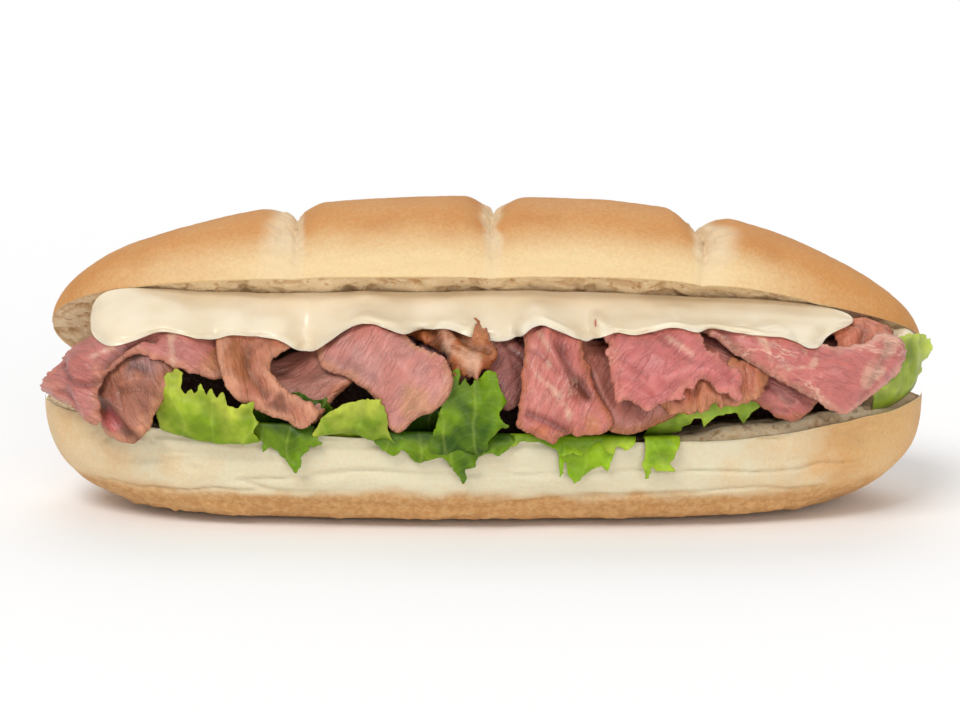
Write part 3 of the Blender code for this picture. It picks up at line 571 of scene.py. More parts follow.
def makeBreadFinish(name, low, high):
    # pale crust browning to high, torn seams, crumb with dark pores, and a floury brown base
    settings = {
        "Roughness": 0.62, "Subsurface Weight": 0.12, "Subsurface Scale": 0.002, "Specular IOR Level": 0.35,
        "Subsurface Radius": (1.0, 0.55, 0.25),
    }
    material, tree, shader = newFinish(name, settings)
    place = objectPlace(tree)
    fine = speckle(tree, place, 0.0009, 3, 0.6)
    broad = speckle(tree, place, 0.012, 3)
    bake = combine(tree, "ADD", readMark(tree, "bake"), remap(tree, fine, 0.35, 0.65, (-0.10, 0.10)))
    crust = mixed(tree, bake, low, high)
    darker = remap(tree, broad, 0.50, 0.75, (0, 0.35))
    darker = combine(tree, "MULTIPLY", darker, readMark(tree, "bake"))
    crust = mixed(tree, darker, crust, bread["deepGolden"])
    dots = remap(tree, speckle(tree, place, 0.0005, 1), 0.62, 0.72, (0, 0.30))
    crust = mixed(tree, combine(tree, "MULTIPLY", dots, readMark(tree, "bake")), crust, bread["deepGolden"])
    torn = combine(tree, "MULTIPLY", readMark(tree, "torn"), 0.75)
    crust = mixed(tree, torn, crust, bread["tornCrust"])
    flour = remap(tree, speckle(tree, place, 0.0016, 4, 0.7), 0.42, 0.60)
    baseTone = mixed(tree, flour, bread["heelBase"], bread["baseFlour"])
    crust = mixed(tree, readMark(tree, "base"), crust, baseTone)
    crumb = mixed(tree, remap(tree, fine, 0.3, 0.7), bread["crumb"], bread["crumbPale"])
    pores = remap(tree, readMark(tree, "pore"), 0.05, 0.5, (0, 0.5))
    crumb = mixed(tree, pores, crumb, bread["poreShade"])
    toasted = remap(tree, speckle(tree, place, 0.0019, 2), 0.60, 0.68, (0, 0.55))
    crumb = mixed(tree, toasted, crumb, bread["toastedCrumb"])
    colour = mixed(tree, readMark(tree, "crumb"), crust, crumb)
    tree.links.new(colour, shader.inputs["Base Color"])
    grain = combine(tree, "ADD", fine, combine(tree, "MULTIPLY", speckle(tree, place, 0.0004, 2), 0.5))
    roughen(tree, shader, grain, 0.00022, 0.7)
    return material


def makeWeb():
    # the uncut back: each section runs from inside the heel, out over its back, up into the crown and inside
    web = bread["web"]
    x = web["halfLength"] * np.sin(np.linspace(-1.4, 1.4, 240))[:, None]
    h, c, sunk = bread["heel"], bread["crown"], web["sunk"]
    heelY = halfWidthAt(h, x) - sunk
    crownAcross = halfWidthAt(c, x - c["shift"]) - sunk
    topY, topZ = opened(crownAcross, sunk, x - c["shift"])
    innerY, innerZ = opened(crownAcross - web["thickness"], sunk, x - c["shift"])
    lowZ = cutHeight(x) - sunk
    corners = [
        (heelY - web["thickness"], lowZ), (heelY, lowZ), ((heelY + topY) / 2 + 0.0012, (lowZ + topZ) / 2),
        (topY, topZ), (innerY, innerZ),
    ]
    y, z = (np.concatenate([pair[k] for pair in corners], 1) for k in (0, 1))
    steps = np.linspace(0, 5, 41)[:-1]
    y, z = (
        np.stack([np.interp(steps, range(6), np.append(row, row[0])) for row in field]) for field in (y, z)
    )
    points = np.stack([np.broadcast_to(x, y.shape), y, z], -1)
    outer = np.broadcast_to((steps > 1) & (steps < 3), y.shape)
    normal = np.array([0, 1.0, 0.0]) * np.where(outer, 1, -1)[..., None]
    points = points + normal * (0.0006 * layeredNoise(points, 0.0050, 3, 81))[..., None]
    blank = np.zeros(y.shape)
    marks = {"bake": blank + 0.75, "torn": blank, "crumb": 1.0 - outer, "pore": blank, "base": blank}
    points, faces = ringSkin(points)
    marks = {mark: withTips(values) for mark, values in marks.items()}
    addPiece("uncutBack", points, faces, breadFinish, ["roll"], marks)


breadFinish = makeBreadFinish("crust", bread["cream"], bread["golden"])
heelFinish = makeBreadFinish("heelCrust", bread["heelPale"], bread["heelGolden"])
makeCrown()
makeHeel()
makeWeb()
print("bread made")


# the pile of beef: a place on it is x along the roll, s along its face from its back over its top, and n
# outwards from its face, in mm. humps is how far the beef folded up inside lifts the slices off that face

pile = {
    "profile": [
        (16, 22.5), (6, 26.5), (-4, 31), (-12, 34.8), (-19, 36.2), (-25, 33.5),
        (-28.8, 28.8), (-32.2, 24.2), (-34.8, 20.4), (-36.2, 15), (-36.6, 9),
    ],
    "lean": [(0, 0), (18, 8), (28, 16), (36, 32), (42, 52), (48, 66), (56, 76), (75, 86)],
    "humps": [
        (-100, -1), (-91, -3), (-84, -2.5), (-77, 0), (-70, 5), (-64, 2), (-58, -1), (-52, -3), (-44, -5),
        (-36, -2.5), (-30, 2), (-25, 5), (-17, 5), (-10, 4.5), (-4, 1), (0, 1), (5, 5.5), (10, 3), (15, -2),
        (21, -4), (27, -4), (33, 1), (38, 1.5), (45, -1.5), (52, 0.5), (60, 1.5), (66, -3), (72, -2),
        (78, 2), (84, 5), (90, 4), (100, 0),
    ],
    "foot": 20.4,
    "halfLength": 103,
    "thickness": 1.8,
    "gap": 0.40,
    "fine": 0.5,
    # the beef folded up inside is painted near black: painted shade deep in the gaps between the slices
    "innerPaintedShade": linear(56, 24, 18),
    "moist": np.array([0.90, 0.85, 0.79]),
}
coarseX, coarseS = np.arange(-104, 105, 4.0), np.arange(0, 74, 3.5)
fineX, fineS = np.arange(-104, 104.1, pile["fine"]), np.arange(0, 70.1, pile["fine"])


def pilePoint(x, s, n):
    # the pile's face turned outwards by its lean, drawn in and splayed towards the roll's ends
    line = curveThrough(pile["profile"])
    run = lineRun(*line.T)
    lean = np.radians(np.interp(s, *zip(*pile["lean"])))
    end = np.clip(np.abs(x) / pile["halfLength"], 0, 0.999)
    splay = math.radians(60) * end**6
    y = np.interp(s, run, line[:, 0]) * (1 - end**4) ** (1 / 2.4)
    lift = np.interp(s, run, line[:, 1]) - pile["foot"]
    z = pile["foot"] + lift * (1 - (0.97 * end) ** 6) ** 0.5 + bread["heel"]["cutRise"] / mm * end**3
    out = (np.sign(x) * np.sin(splay), -np.sin(lean) * np.cos(splay), np.cos(lean) * np.cos(splay))
    return np.stack([x + out[0] * n, y + out[1] * n, z + out[2] * n], -1) * mm


def lineDistance(line, x, s, closed=False):
    # the least distance from places to a line of points
    a = line if closed else line[:-1]
    b = np.roll(line, -1, axis=0) if closed else line[1:]
    nearest = np.full(x.shape, 1e9)
    for (ax, ay), (bx, by) in zip(a, b):
        dx, dy = bx - ax, by - ay
        t = np.clip(((x - ax) * dx + (s - ay) * dy) / max(dx * dx + dy * dy, 1e-9), 0, 1)
        nearest = np.minimum(nearest, (x - ax - t * dx) ** 2 + (s - ay - t * dy) ** 2)
    return np.sqrt(nearest)


def signedReach(outline, x, s, steps=6):
    # how far places lie inside a closed outline, below zero outside; one step keeps its corners sharp
    line = curveThrough(outline, closed=True, steps=steps)
    distance = lineDistance(line, x, s, closed=True)
    inside = np.zeros(x.shape, bool)
    for (ax, ay), (bx, by) in zip(line, np.roll(line, -1, axis=0)):
        if ay != by:
            inside ^= ((ay > s) != (by > s)) & (x < ax + (s - ay) / (by - ay) * (bx - ax))
    return np.where(inside, distance, -distance)


def around(values, beyond=None):
    # values on a lattice with those of their eight neighbours
    wide = np.pad(values, 1, mode="edge") if beyond is None else np.pad(values, 1, constant_values=beyond)
    rows, columns = values.shape
    return np.stack([wide[i : i + rows, j : j + columns] for i in range(3) for j in range(3)])


def cubicWeights(fine, coarse):
    # Catmull-Rom weights that carry values from a coarse row of places to a fine one
    t = (fine - coarse[0]) / (coarse[1] - coarse[0])
    i = np.clip(np.floor(t).astype(int), 0, len(coarse) - 2)
    f = t - i
    parts = [-f + 2 * f**2 - f**3, 2 - 5 * f**2 + 3 * f**3, f + 4 * f**2 - 3 * f**3, f**3 - f**2]
    weights = np.zeros((len(fine), len(coarse)))
    for k, part in enumerate(parts):
        np.add.at(weights, (np.arange(len(fine)), np.clip(i + k - 1, 0, len(coarse) - 1)), part / 2)
    return weights


greyRose, brownRose, tan, rust = (184, 126, 112), (170, 104, 88), (204, 142, 108), (176, 104, 74)
fatCream = linear(230, 190, 166)

# each slice from the bottom of the stack to its top: its outline as places (x, s), the bump that a fold of
# its own makes (x, s, half-width, half-height, rise), two tones and the rim's as seen on a screen, the rim's
# width, the fibres' angle, its raggedness, and lines: folds and creases with width and height, fat with one
beef = {
    "beef_01": {
        "outline": [(-96, 34), (-94, 22), (-91, 6), (-82, 2), (-79, 22), (-81, 40), (-88, 45), (-95, 44)],
        "tones": ((232, 172, 140), (226, 168, 130)), "rim": (tan, 3.0), "fibres": 20, "ragged": 0.7,
        "folds": [([(-93, 38), (-86, 36), (-80, 37)], 1.6, 1.0)],
    },
    "beef_02": {
        "outline": [
            (-87, 48), (-83, 43), (-77, 40), (-72, 38), (-67, 41), (-68, 47), (-70, 50), (-72, 54),
            (-74, 58), (-77, 62), (-81, 63), (-85, 60), (-87, 54),
        ],
        "bump": (-76, 52, 8, 9, 4.0), "tones": ((160, 98, 78), (186, 124, 98)), "rim": (tan, 2.0),
        "fibres": 70, "ragged": 0.5,
        "folds": [
            ([(-84, 52), (-81, 53), (-78, 58), (-74, 61)], 0.9, 1.2),
            ([(-79, 49), (-75, 48), (-70, 49), (-68, 52)], 1.1, 0.7),
            ([(-76, 51), (-73, 51), (-71, 53)], 0.7, 0.5),
        ],
        "creases": [
            ([(-85, 54), (-82, 56), (-79, 60), (-77, 62)], 1.5, 2.4),
            ([(-79, 50.5), (-75, 50), (-71, 51)], 0.7, 0.6), ([(-76, 52), (-74, 54), (-74, 57)], 0.6, 0.5),
            ([(-77, 45), (-74, 46)], 0.6, 0.7),
        ],
        "patches": [((-82, 58), 3.2, (206, 104, 100)), ((-75, 44), 4.0, (158, 116, 112))],
    },
    "beef_03": {
        "outline": [
            (-53, 26), (-50, 5), (-38, 2), (-30, 22), (-29, 44), (-30, 47), (-33, 49), (-35, 52), (-38, 55),
            (-42, 54), (-47, 52), (-53, 49), (-55, 42),
        ],
        "tones": (greyRose, (190, 124, 112)), "rim": ((200, 128, 96), 1.3), "fibres": -30, "ragged": 0.35,
        "folds": [
            ([(-41, 47), (-37, 46), (-32, 45.5)], 1.4, 0.7),
            ([(-29, 46), (-33, 48), (-34, 52), (-39, 54)], 0.7, 0.7),
            ([(-43, 33), (-39, 34.5), (-36, 37)], 3.6, 4.2),
        ],
        "creases": [([(-46, 42), (-40, 44), (-34, 44)], 1.4, 0.5)],
    },
    "beef_04": {
        "outline": [
            (-25, 22), (-20, 4), (-9, 3), (-4, 22), (-4, 34), (-2, 44), (-7, 46), (-13, 42), (-20, 38),
            (-25, 34),
        ],
        "tones": ((182, 134, 138), (186, 118, 112)), "rim": (brownRose, 1.4), "fibres": 75, "ragged": 0.4,
        "folds": [([(-21, 33), (-16, 33), (-13, 32)], 1.2, 1.0)],
        "creases": [([(-14, 30), (-15, 39)], 0.7, 1.4)], "patches": [((-16, 31), 3.0, (188, 128, 96))],
    },
    "beef_05": {
        "outline": [
            (-1, 22), (2, 5), (9, 4), (12, 22), (13, 33), (12, 40), (10, 46), (6, 52), (3, 50), (0, 45),
            (-2, 36),
        ],
        "tones": ((158, 98, 92), (176, 112, 102)), "rim": ((140, 84, 74), 1.2), "fibres": -50,
        "ragged": 0.3, "folds": [([(4, 33), (7, 38), (10, 41)], 1.5, 0.5)],
        "creases": [([(3, 33), (5, 39), (9, 42)], 0.6, 0.7), ([(6, 42), (8, 45)], 0.5, 0.4)],
    },
    "beef_06": {
        "outline": [
            (15, 24), (24, 18), (28, 33), (29, 46), (29, 53), (24, 53), (20, 48), (17, 42), (15, 33),
        ],
        "tones": ((150, 92, 82), (176, 110, 96)), "rim": ((130, 78, 66), 1.5), "fibres": 60, "ragged": 0.8,
        "creases": [([(19, 40), (22, 46), (26, 51)], 0.8, 0.9)],
    },
    "beef_07": {
        "outline": [
            (43, 22), (52, 18), (53, 33), (56, 42), (60, 48), (56, 51), (49, 47), (43, 40), (41, 33),
        ],
        "tones": ((140, 88, 84), (160, 100, 92)), "rim": ((120, 72, 66), 1.5), "fibres": 50, "ragged": 0.9,
    },
    "beef_08": {
        "outline": [(63, 24), (67, 4), (80, 2), (89, 20), (88, 39), (80, 43), (72, 42), (66, 38), (64, 33)],
        "tones": ((186, 128, 120), (172, 110, 104)), "rim": ((150, 92, 84), 1.6), "fibres": 0,
        "ragged": 0.4, "creases": [([(66, 36), (74, 39), (82, 39)], 1.0, 0.8)],
    },
    "beef_09": {
        "outline": [
            (21, 26), (25, 5), (38, 3), (45, 24), (47, 46), (45, 51), (42, 54), (37, 56), (32, 58),
            (27, 56), (24, 52), (21, 47), (20, 40), (19, 34),
        ],
        "tones": ((196, 130, 116), (186, 116, 104)), "rim": ((178, 110, 72), 2.0), "fibres": -60,
        "ragged": 0.4,
        "folds": [([(22, 42), (25, 46), (28, 52)], 1.0, 0.8), ([(32, 48), (40, 52)], 2.0, 0.5)],
        "creases": [([(20, 41), (23, 46), (26, 52)], 0.7, 0.8), ([(24, 38), (28, 36)], 0.7, 0.6)],
    },
    "beef_10": {
        "outline": [
            (44, 32), (49, 24), (58, 20), (66, 40), (71, 47), (74, 51), (71, 55), (67, 56), (62, 53),
            (57, 49), (53, 46), (49, 41), (45, 37),
        ],
        "tones": ((186, 104, 100), (198, 124, 116)), "rim": (rust, 1.4), "fibres": 35, "ragged": 0.6,
        "folds": [([(61, 50), (66, 50), (70, 53)], 1.6, 0.9), ([(66, 53), (69, 52)], 1.0, 0.7)],
        "creases": [([(60, 47), (64, 49), (68, 52)], 0.8, 0.9), ([(64, 53), (67, 54)], 0.6, 0.6)],
    },
    "beef_11": {
        "outline": [
            (-9, 28), (-4, 28), (0, 34), (2, 40), (2, 45), (-5, 46), (-10, 42), (-14, 38), (-20, 35),
            (-20, 31), (-14, 29),
        ],
        "bump": (-6, 32, 5, 6, 2.5), "proud": True, "tones": ((196, 124, 76), (176, 100, 58)),
        "rim": ((170, 92, 50), 1.5), "fibres": 10, "ragged": 1.3,
        "folds": [
            ([(-9, 37), (-8.5, 41), (-5, 43.5), (-1, 44)], 1.5, 1.8), ([(-8, 29), (-6, 31)], 1.3, 1.6),
            ([(-4, 32), (-2, 35)], 1.1, 1.4), ([(-4, 38), (0, 40)], 1.1, 1.6),
            ([(-18, 33), (-13, 32), (-10, 34)], 1.2, 1.0),
        ],
        "creases": [
            ([(-5, 34), (-6, 38), (-3, 41), (1, 42)], 0.8, 1.4),
            ([(-10, 30), (-11, 38), (-8, 43)], 0.8, 1.0),
        ],
        "fat": [([(-8.5, 38), (-8, 41.5), (-4.5, 44), (-1.5, 44.3)], 1.7)], "crumpled": 0.45,
    },
    "beef_12": {
        "outline": [
            (-90, 30), (-80, 18), (-68, 12), (-56, 20), (-50, 38), (-51, 46), (-58, 46), (-65, 46),
            (-70, 44), (-75, 43), (-80, 45), (-84, 50), (-83, 57), (-86, 59), (-90, 55), (-95, 54),
            (-99, 50), (-95, 45), (-91, 40),
        ],
        "tones": ((204, 130, 124), (192, 116, 108)), "rim": ((206, 140, 116), 1.4), "fibres": 25,
        "ragged": 0.6,
        "folds": [
            ([(-89, 45), (-81, 41), (-74, 35), (-68, 33)], 1.6, 1.0),
            ([(-83, 47.5), (-79, 44.5), (-74, 41)], 0.9, 1.0),
            ([(-90, 46), (-88, 51), (-86, 55), (-86, 59)], 1.2, 1.0), ([(-97, 50), (-92, 49)], 1.5, 0.7),
            ([(-69, 37), (-63, 42), (-58, 44)], 2.2, 0.8),
        ],
        "creases": [
            ([(-82, 46), (-79, 43.3), (-75, 40.6), (-72, 40)], 0.8, 1.3),
            ([(-91, 44), (-88.5, 49), (-85, 49.5), (-80, 46.8)], 0.8, 1.0),
            ([(-93, 51), (-90, 52), (-88, 56)], 0.6, 0.7), ([(-74, 39), (-70, 38.5), (-68, 38)], 0.5, 0.6),
        ],
        "fat": [([(-68.5, 39), (-68, 44)], 0.9), ([(-84, 44), (-80, 42)], 0.5)],
        "patches": [
            ((-57, 45.5), 5.0, (178, 116, 74)), ((-76, 43), 2.2, (158, 92, 84)),
            ((-95, 50), 4.0, (206, 130, 116)),
        ],
    },
    "beef_13": {
        "outline": [
            (-37, 40), (-37, 28), (-30, 18), (-22, 20), (-21, 32), (-16, 40), (-9, 44), (-7, 48), (-10, 52),
            (-15, 54), (-19, 57), (-22, 54), (-25, 49), (-30, 46), (-35, 44),
        ],
        "tones": ((208, 134, 124), (206, 148, 142)), "rim": ((212, 150, 122), 1.5), "fibres": -45,
        "ragged": 0.35,
        "folds": [([(-28, 33), (-22, 41), (-16, 48)], 3.0, 1.2), ([(-28, 30), (-25, 29.5)], 1.2, 0.8)],
        "creases": [([(-25, 30), (-24, 34)], 0.6, 1.0), ([(-35, 42), (-28, 45), (-24, 47)], 1.0, 0.5)],
        "patches": [((-15, 52), 3.4, (212, 154, 124))],
    },
    "beef_14": {
        "outline": [(77, 28), (80, 18), (86, 20), (88.5, 30), (88, 40), (84.5, 44), (79, 44), (77, 36)],
        "bump": (83, 32, 6, 9, 2.0), "tones": ((218, 140, 112), (208, 124, 98)),
        "rim": ((190, 104, 74), 1.6), "fibres": 80, "ragged": 1.1,
        "folds": [([(78, 30), (82, 31), (85, 35)], 1.2, 0.8), ([(81, 38), (85, 40)], 1.0, 0.7)],
        "creases": [([(79, 33), (82, 37), (82, 42)], 0.8, 1.0), ([(83, 33), (85, 36)], 0.6, 0.7)],
        "patches": [((79, 29), 1.6, (120, 60, 34))], "crumpled": 0.35,
    },
    "beef_15": {
        "outline": [
            (39, 51), (41, 46), (48, 44), (55, 44), (60, 41), (63, 43), (61, 50), (58, 52), (53, 52.4),
            (46, 53), (41, 53.4),
        ],
        "tones": ((204, 132, 100), (192, 112, 84)), "rim": ((206, 140, 100), 1.4), "fibres": 85,
        "ragged": 1.2,
        "folds": [
            ([(44, 49), (44.5, 53)], 0.8, 1.0), ([(48, 48), (48.5, 53)], 0.8, 1.1),
            ([(52, 48), (52, 53)], 0.9, 0.9), ([(56, 48), (57, 53)], 1.0, 1.1),
            ([(60, 46), (60, 51)], 1.0, 1.3),
        ],
        "crumpled": 0.5,
    },
    "beef_16": {
        "outline": [
            (46, 33), (51, 24), (58, 16), (65, 22), (68, 38), (74, 42), (81, 42), (86, 39), (89.5, 42),
            (88.5, 47), (85, 51), (81, 55), (77, 55), (72, 52), (67, 49), (61, 46), (55, 42), (49, 38),
        ],
        "tones": ((208, 124, 120), (200, 114, 108)), "rim": ((220, 160, 140), 1.3), "fibres": 20,
        "ragged": 0.55, "marbled": 0.9,
        "folds": [
            ([(50, 36), (57, 40), (64, 44), (70, 47)], 2.2, 1.0),
            ([(74, 46), (80, 47), (86, 45)], 2.6, 0.8), ([(87.5, 41), (86, 46), (83, 51)], 1.4, 1.2),
        ],
        "creases": [
            ([(52, 38), (56, 43), (62, 46.5)], 0.7, 0.7), ([(56, 35), (60, 37), (63, 36)], 0.6, 0.5),
            ([(68, 42), (72, 44.5), (76, 44)], 0.5, 0.4), ([(86, 42), (84, 47), (82, 52)], 0.7, 0.6),
        ],
        "fat": [
            ([(56, 37.5), (60, 40), (62, 43), (63, 45.5)], 0.65),
            ([(64, 46), (68, 46.5), (71, 46), (72, 44)], 0.55), ([(65, 39), (69, 41), (70, 44)], 0.4),
            ([(86, 42), (84.5, 45), (82.5, 49)], 1.7),
        ],
    },
    "beef_17": {
        "outline": [
            (10, 26), (16, 20), (20, 28), (21, 38), (23, 45), (26, 51), (28, 56), (24, 58), (18, 58),
            (15, 60), (11, 58), (8, 56), (8, 52), (9, 46), (9, 38), (9, 32),
        ],
        "tones": ((212, 130, 122), (202, 116, 108)), "rim": ((202, 124, 94), 1.5), "fibres": -65,
        "ragged": 0.6, "marbled": 0.5,
        "folds": [
            ([(13, 33), (14.5, 41), (18, 46), (23, 52)], 1.2, 1.3),
            ([(9.5, 44), (12, 47), (15, 49), (18.5, 53)], 1.3, 0.9),
            ([(9, 55), (12, 57), (15, 59)], 1.0, 1.1), ([(20, 55), (25, 56)], 1.0, 0.9),
        ],
        "creases": [
            ([(17, 42), (19, 46), (23, 50)], 1.3, 1.5), ([(10, 42), (13, 43.5), (16, 46)], 0.6, 0.6),
            ([(10, 53.5), (14, 55), (18, 57)], 0.8, 1.4),
        ],
        "fat": [
            ([(9.3, 44), (12, 47), (14.5, 48.5), (18, 52), (19, 55)], 0.7),
            ([(12, 39), (14, 42), (14.3, 45)], 0.5),
        ],
        # the dark patch at (21, 49) lies in the crease there: painted shade
        "patches": [
            ((21, 49), 2.6, (160, 84, 66)), ((12, 58), 2.4, (196, 112, 82)),
            ((24, 56), 2.4, (204, 130, 96)),
        ],
    },
    "beef_18": {
        "outline": [
            (29, 30), (34, 18), (44, 24), (44, 36), (49, 43), (55, 47), (55, 51), (49, 49), (43, 50),
            (36, 52), (29, 50), (28, 42), (26, 36),
        ],
        "tones": ((212, 124, 122), (202, 112, 110)), "rim": ((216, 138, 124), 1.3), "fibres": -35,
        "ragged": 1.2,
        "folds": [
            ([(31, 34), (33, 40), (40, 45)], 2.2, 0.8), ([(29, 48), (33, 49), (36, 50.5)], 0.9, 0.8),
            ([(40, 48), (46, 46.5), (52, 47.5)], 0.9, 1.0),
        ],
        "creases": [
            ([(32, 36), (34, 36)], 0.5, 0.8), ([(36, 38), (42, 43), (48, 46)], 0.5, 0.4),
            ([(30, 44), (36, 47)], 0.5, 0.4),
        ],
        "fat": [([(36, 37), (41, 41), (46, 44)], 0.35)], "crumpled": 0.12,
    },
    "beef_19": {
        "outline": [
            (-58, 34), (-56, 28), (-48, 26), (-43, 32), (-42, 38), (-47, 42), (-46, 47), (-41, 50),
            (-37, 53), (-40, 56), (-47, 54), (-54, 51), (-58, 45), (-59, 39),
        ],
        "tones": ((200, 132, 106), (184, 112, 84)), "rim": ((220, 158, 128), 2.2), "fibres": 70,
        "ragged": 0.6,
        "folds": [
            ([(-48, 40), (-50, 43), (-46, 47.5), (-41, 50), (-38, 52)], 1.3, 1.3),
            ([(-54, 36), (-50, 34), (-45, 37)], 1.4, 0.9), ([(-56, 41), (-55, 46), (-53, 50)], 1.2, 0.7),
        ],
        "creases": [([(-52, 40), (-52, 45), (-48, 50)], 0.9, 0.9), ([(-57, 38), (-53, 41)], 0.6, 0.5)],
        "patches": [
            ((-55, 44), 4.0, (180, 112, 72)), ((-51, 35), 3.0, (214, 142, 128)),
            ((-46, 53), 3.0, (140, 84, 62)),
        ],
    },
}


def humpHeight(x, s):
    # how high the slices lie over the pile's face on what is folded up inside
    return along(pile["humps"], x) * np.clip((60 - s) / 18, 0, 1) * np.clip(s / 16, 0, 1)


def makeInnerFolds():
    # the beef folded up inside: ridges where a noise crosses zero, under the slices and down to the crumb
    x, s = np.meshgrid(np.arange(-88, 88.1, 0.8), np.arange(3.5, 42.1, 0.7), indexing="ij")
    coarse = around(humpHeight(*np.meshgrid(coarseX, coarseS, indexing="ij"))).min(0)
    low = cubicWeights(x[:, 0], coarseX) @ coarse @ cubicWeights(s[0], coarseS).T - 0.8
    # towards the right they end further in, so that the crumb shows
    drawnIn = 3.5 + (s - 3.5) * (1 - 0.30 * smoothStep(36, 54, x))
    low = np.stack([np.interp(drawnIn[k], s[k], low[k]) for k in range(len(s))])
    s = drawnIn
    flat = np.stack([x, s, 0 * x], -1)
    top = pilePoint(x, s, low - 1.6 * np.abs(layeredNoise(flat, 7.0, 3, 90)))
    heel = bread["heel"]
    place = x[:, :1] * mm
    width = halfWidthAt(heel, place)
    floor = cutHeight(place) + 0.0005
    share = np.linspace(0, 1, 14)[None, 1:]
    front = np.stack([place, 0.0125 - width + 0.009 * smoothStep(0.036, 0.056, place), floor], -1)
    back = np.stack([place, np.minimum(width - 0.008, 0.014), floor], -1)
    down = top[:, -1:] + (front - top[:, -1:]) * share[..., None]
    under = np.concatenate([front * 0.5 + back * 0.5, back], 1)
    rings = np.concatenate([top, down, under], 1)
    points, faces = ringSkin(rings)
    # painted near black with a little mottle: painted shade where the gaps between the slices are deep
    mottle = 1 + 0.3 * layeredNoise(rings, 0.006, 3, 93)
    tone = np.broadcast_to(pile["innerPaintedShade"], rings.shape) * mottle[..., None]
    marks = {"tone": withTips(tone), "lay": withTips(rings), "marble": np.zeros(len(points))}
    addPiece("innerFolds", points, faces, beefFinish, ["beef_inner"], marks)


def layBeef():
    # each slice lies over those before it, as its solid does, and keeps clear of them on the fine lattice.
    # What comes back is how high the pile then stands, without the slices that are proud of the mayonnaise
    cx, cs = np.meshgrid(coarseX, coarseS, indexing="ij")
    fx, fs = np.meshgrid(fineX, fineS, indexing="ij")
    flat = np.stack([fx, fs, np.zeros_like(fx)], -1)
    carryX, carryS = cubicWeights(fineX, coarseX), cubicWeights(fineS, coarseS)
    height, surface = humpHeight(cx, cs), humpHeight(fx, fs) - 0.5
    behind = surface
    border = (cx == cx.max()) | (cx == cx.min()) | (cs == cs.max()) | (cs == cs.min())
    for number, (name, slice_) in enumerate(beef.items()):
        middleX, middleS, wide, high, most = slice_.get("bump", (0, 0, 1, 1, 0))
        resting = around(height).max(0)
        resting = np.maximum(around(resting).mean(0), height)
        bump = most * np.exp(-(((cx - middleX) / wide) ** 2) - ((cs - middleS) / high) ** 2)
        low = resting + pile["gap"] + bump
        touched = around(np.where(border, -1, signedReach(slice_["outline"], cx, cs)) > 0, False).any(0)
        height = np.where(touched, low + pile["thickness"], height)
        outline = np.array(slice_["outline"])
        (lowX, lowS), (highX, highS) = outline.min(0) - 5, outline.max(0) + 5
        keep = (fx > lowX) & (fx < highX) & (fs > lowS) & (fs < highS)
        i, j = np.where(keep.any(1))[0], np.where(keep.any(0))[0]
        window = (slice(i[0], i[-1] + 1), slice(j[0], j[-1] + 1))
        fineLow = blurred(blurred(carryX @ low @ carryS.T, 3, 0), 3, 1)[window]
        lattice = (fx[window], fs[window], flat[window])
        laid = makeSlice(name, number, slice_, *lattice, fineLow, surface[window])
        surface = surface.copy()
        surface[window] = laid
        if not slice_.get("proud"):
            behind = behind.copy()
            behind[window] = np.maximum(behind[window], laid)
    return behind


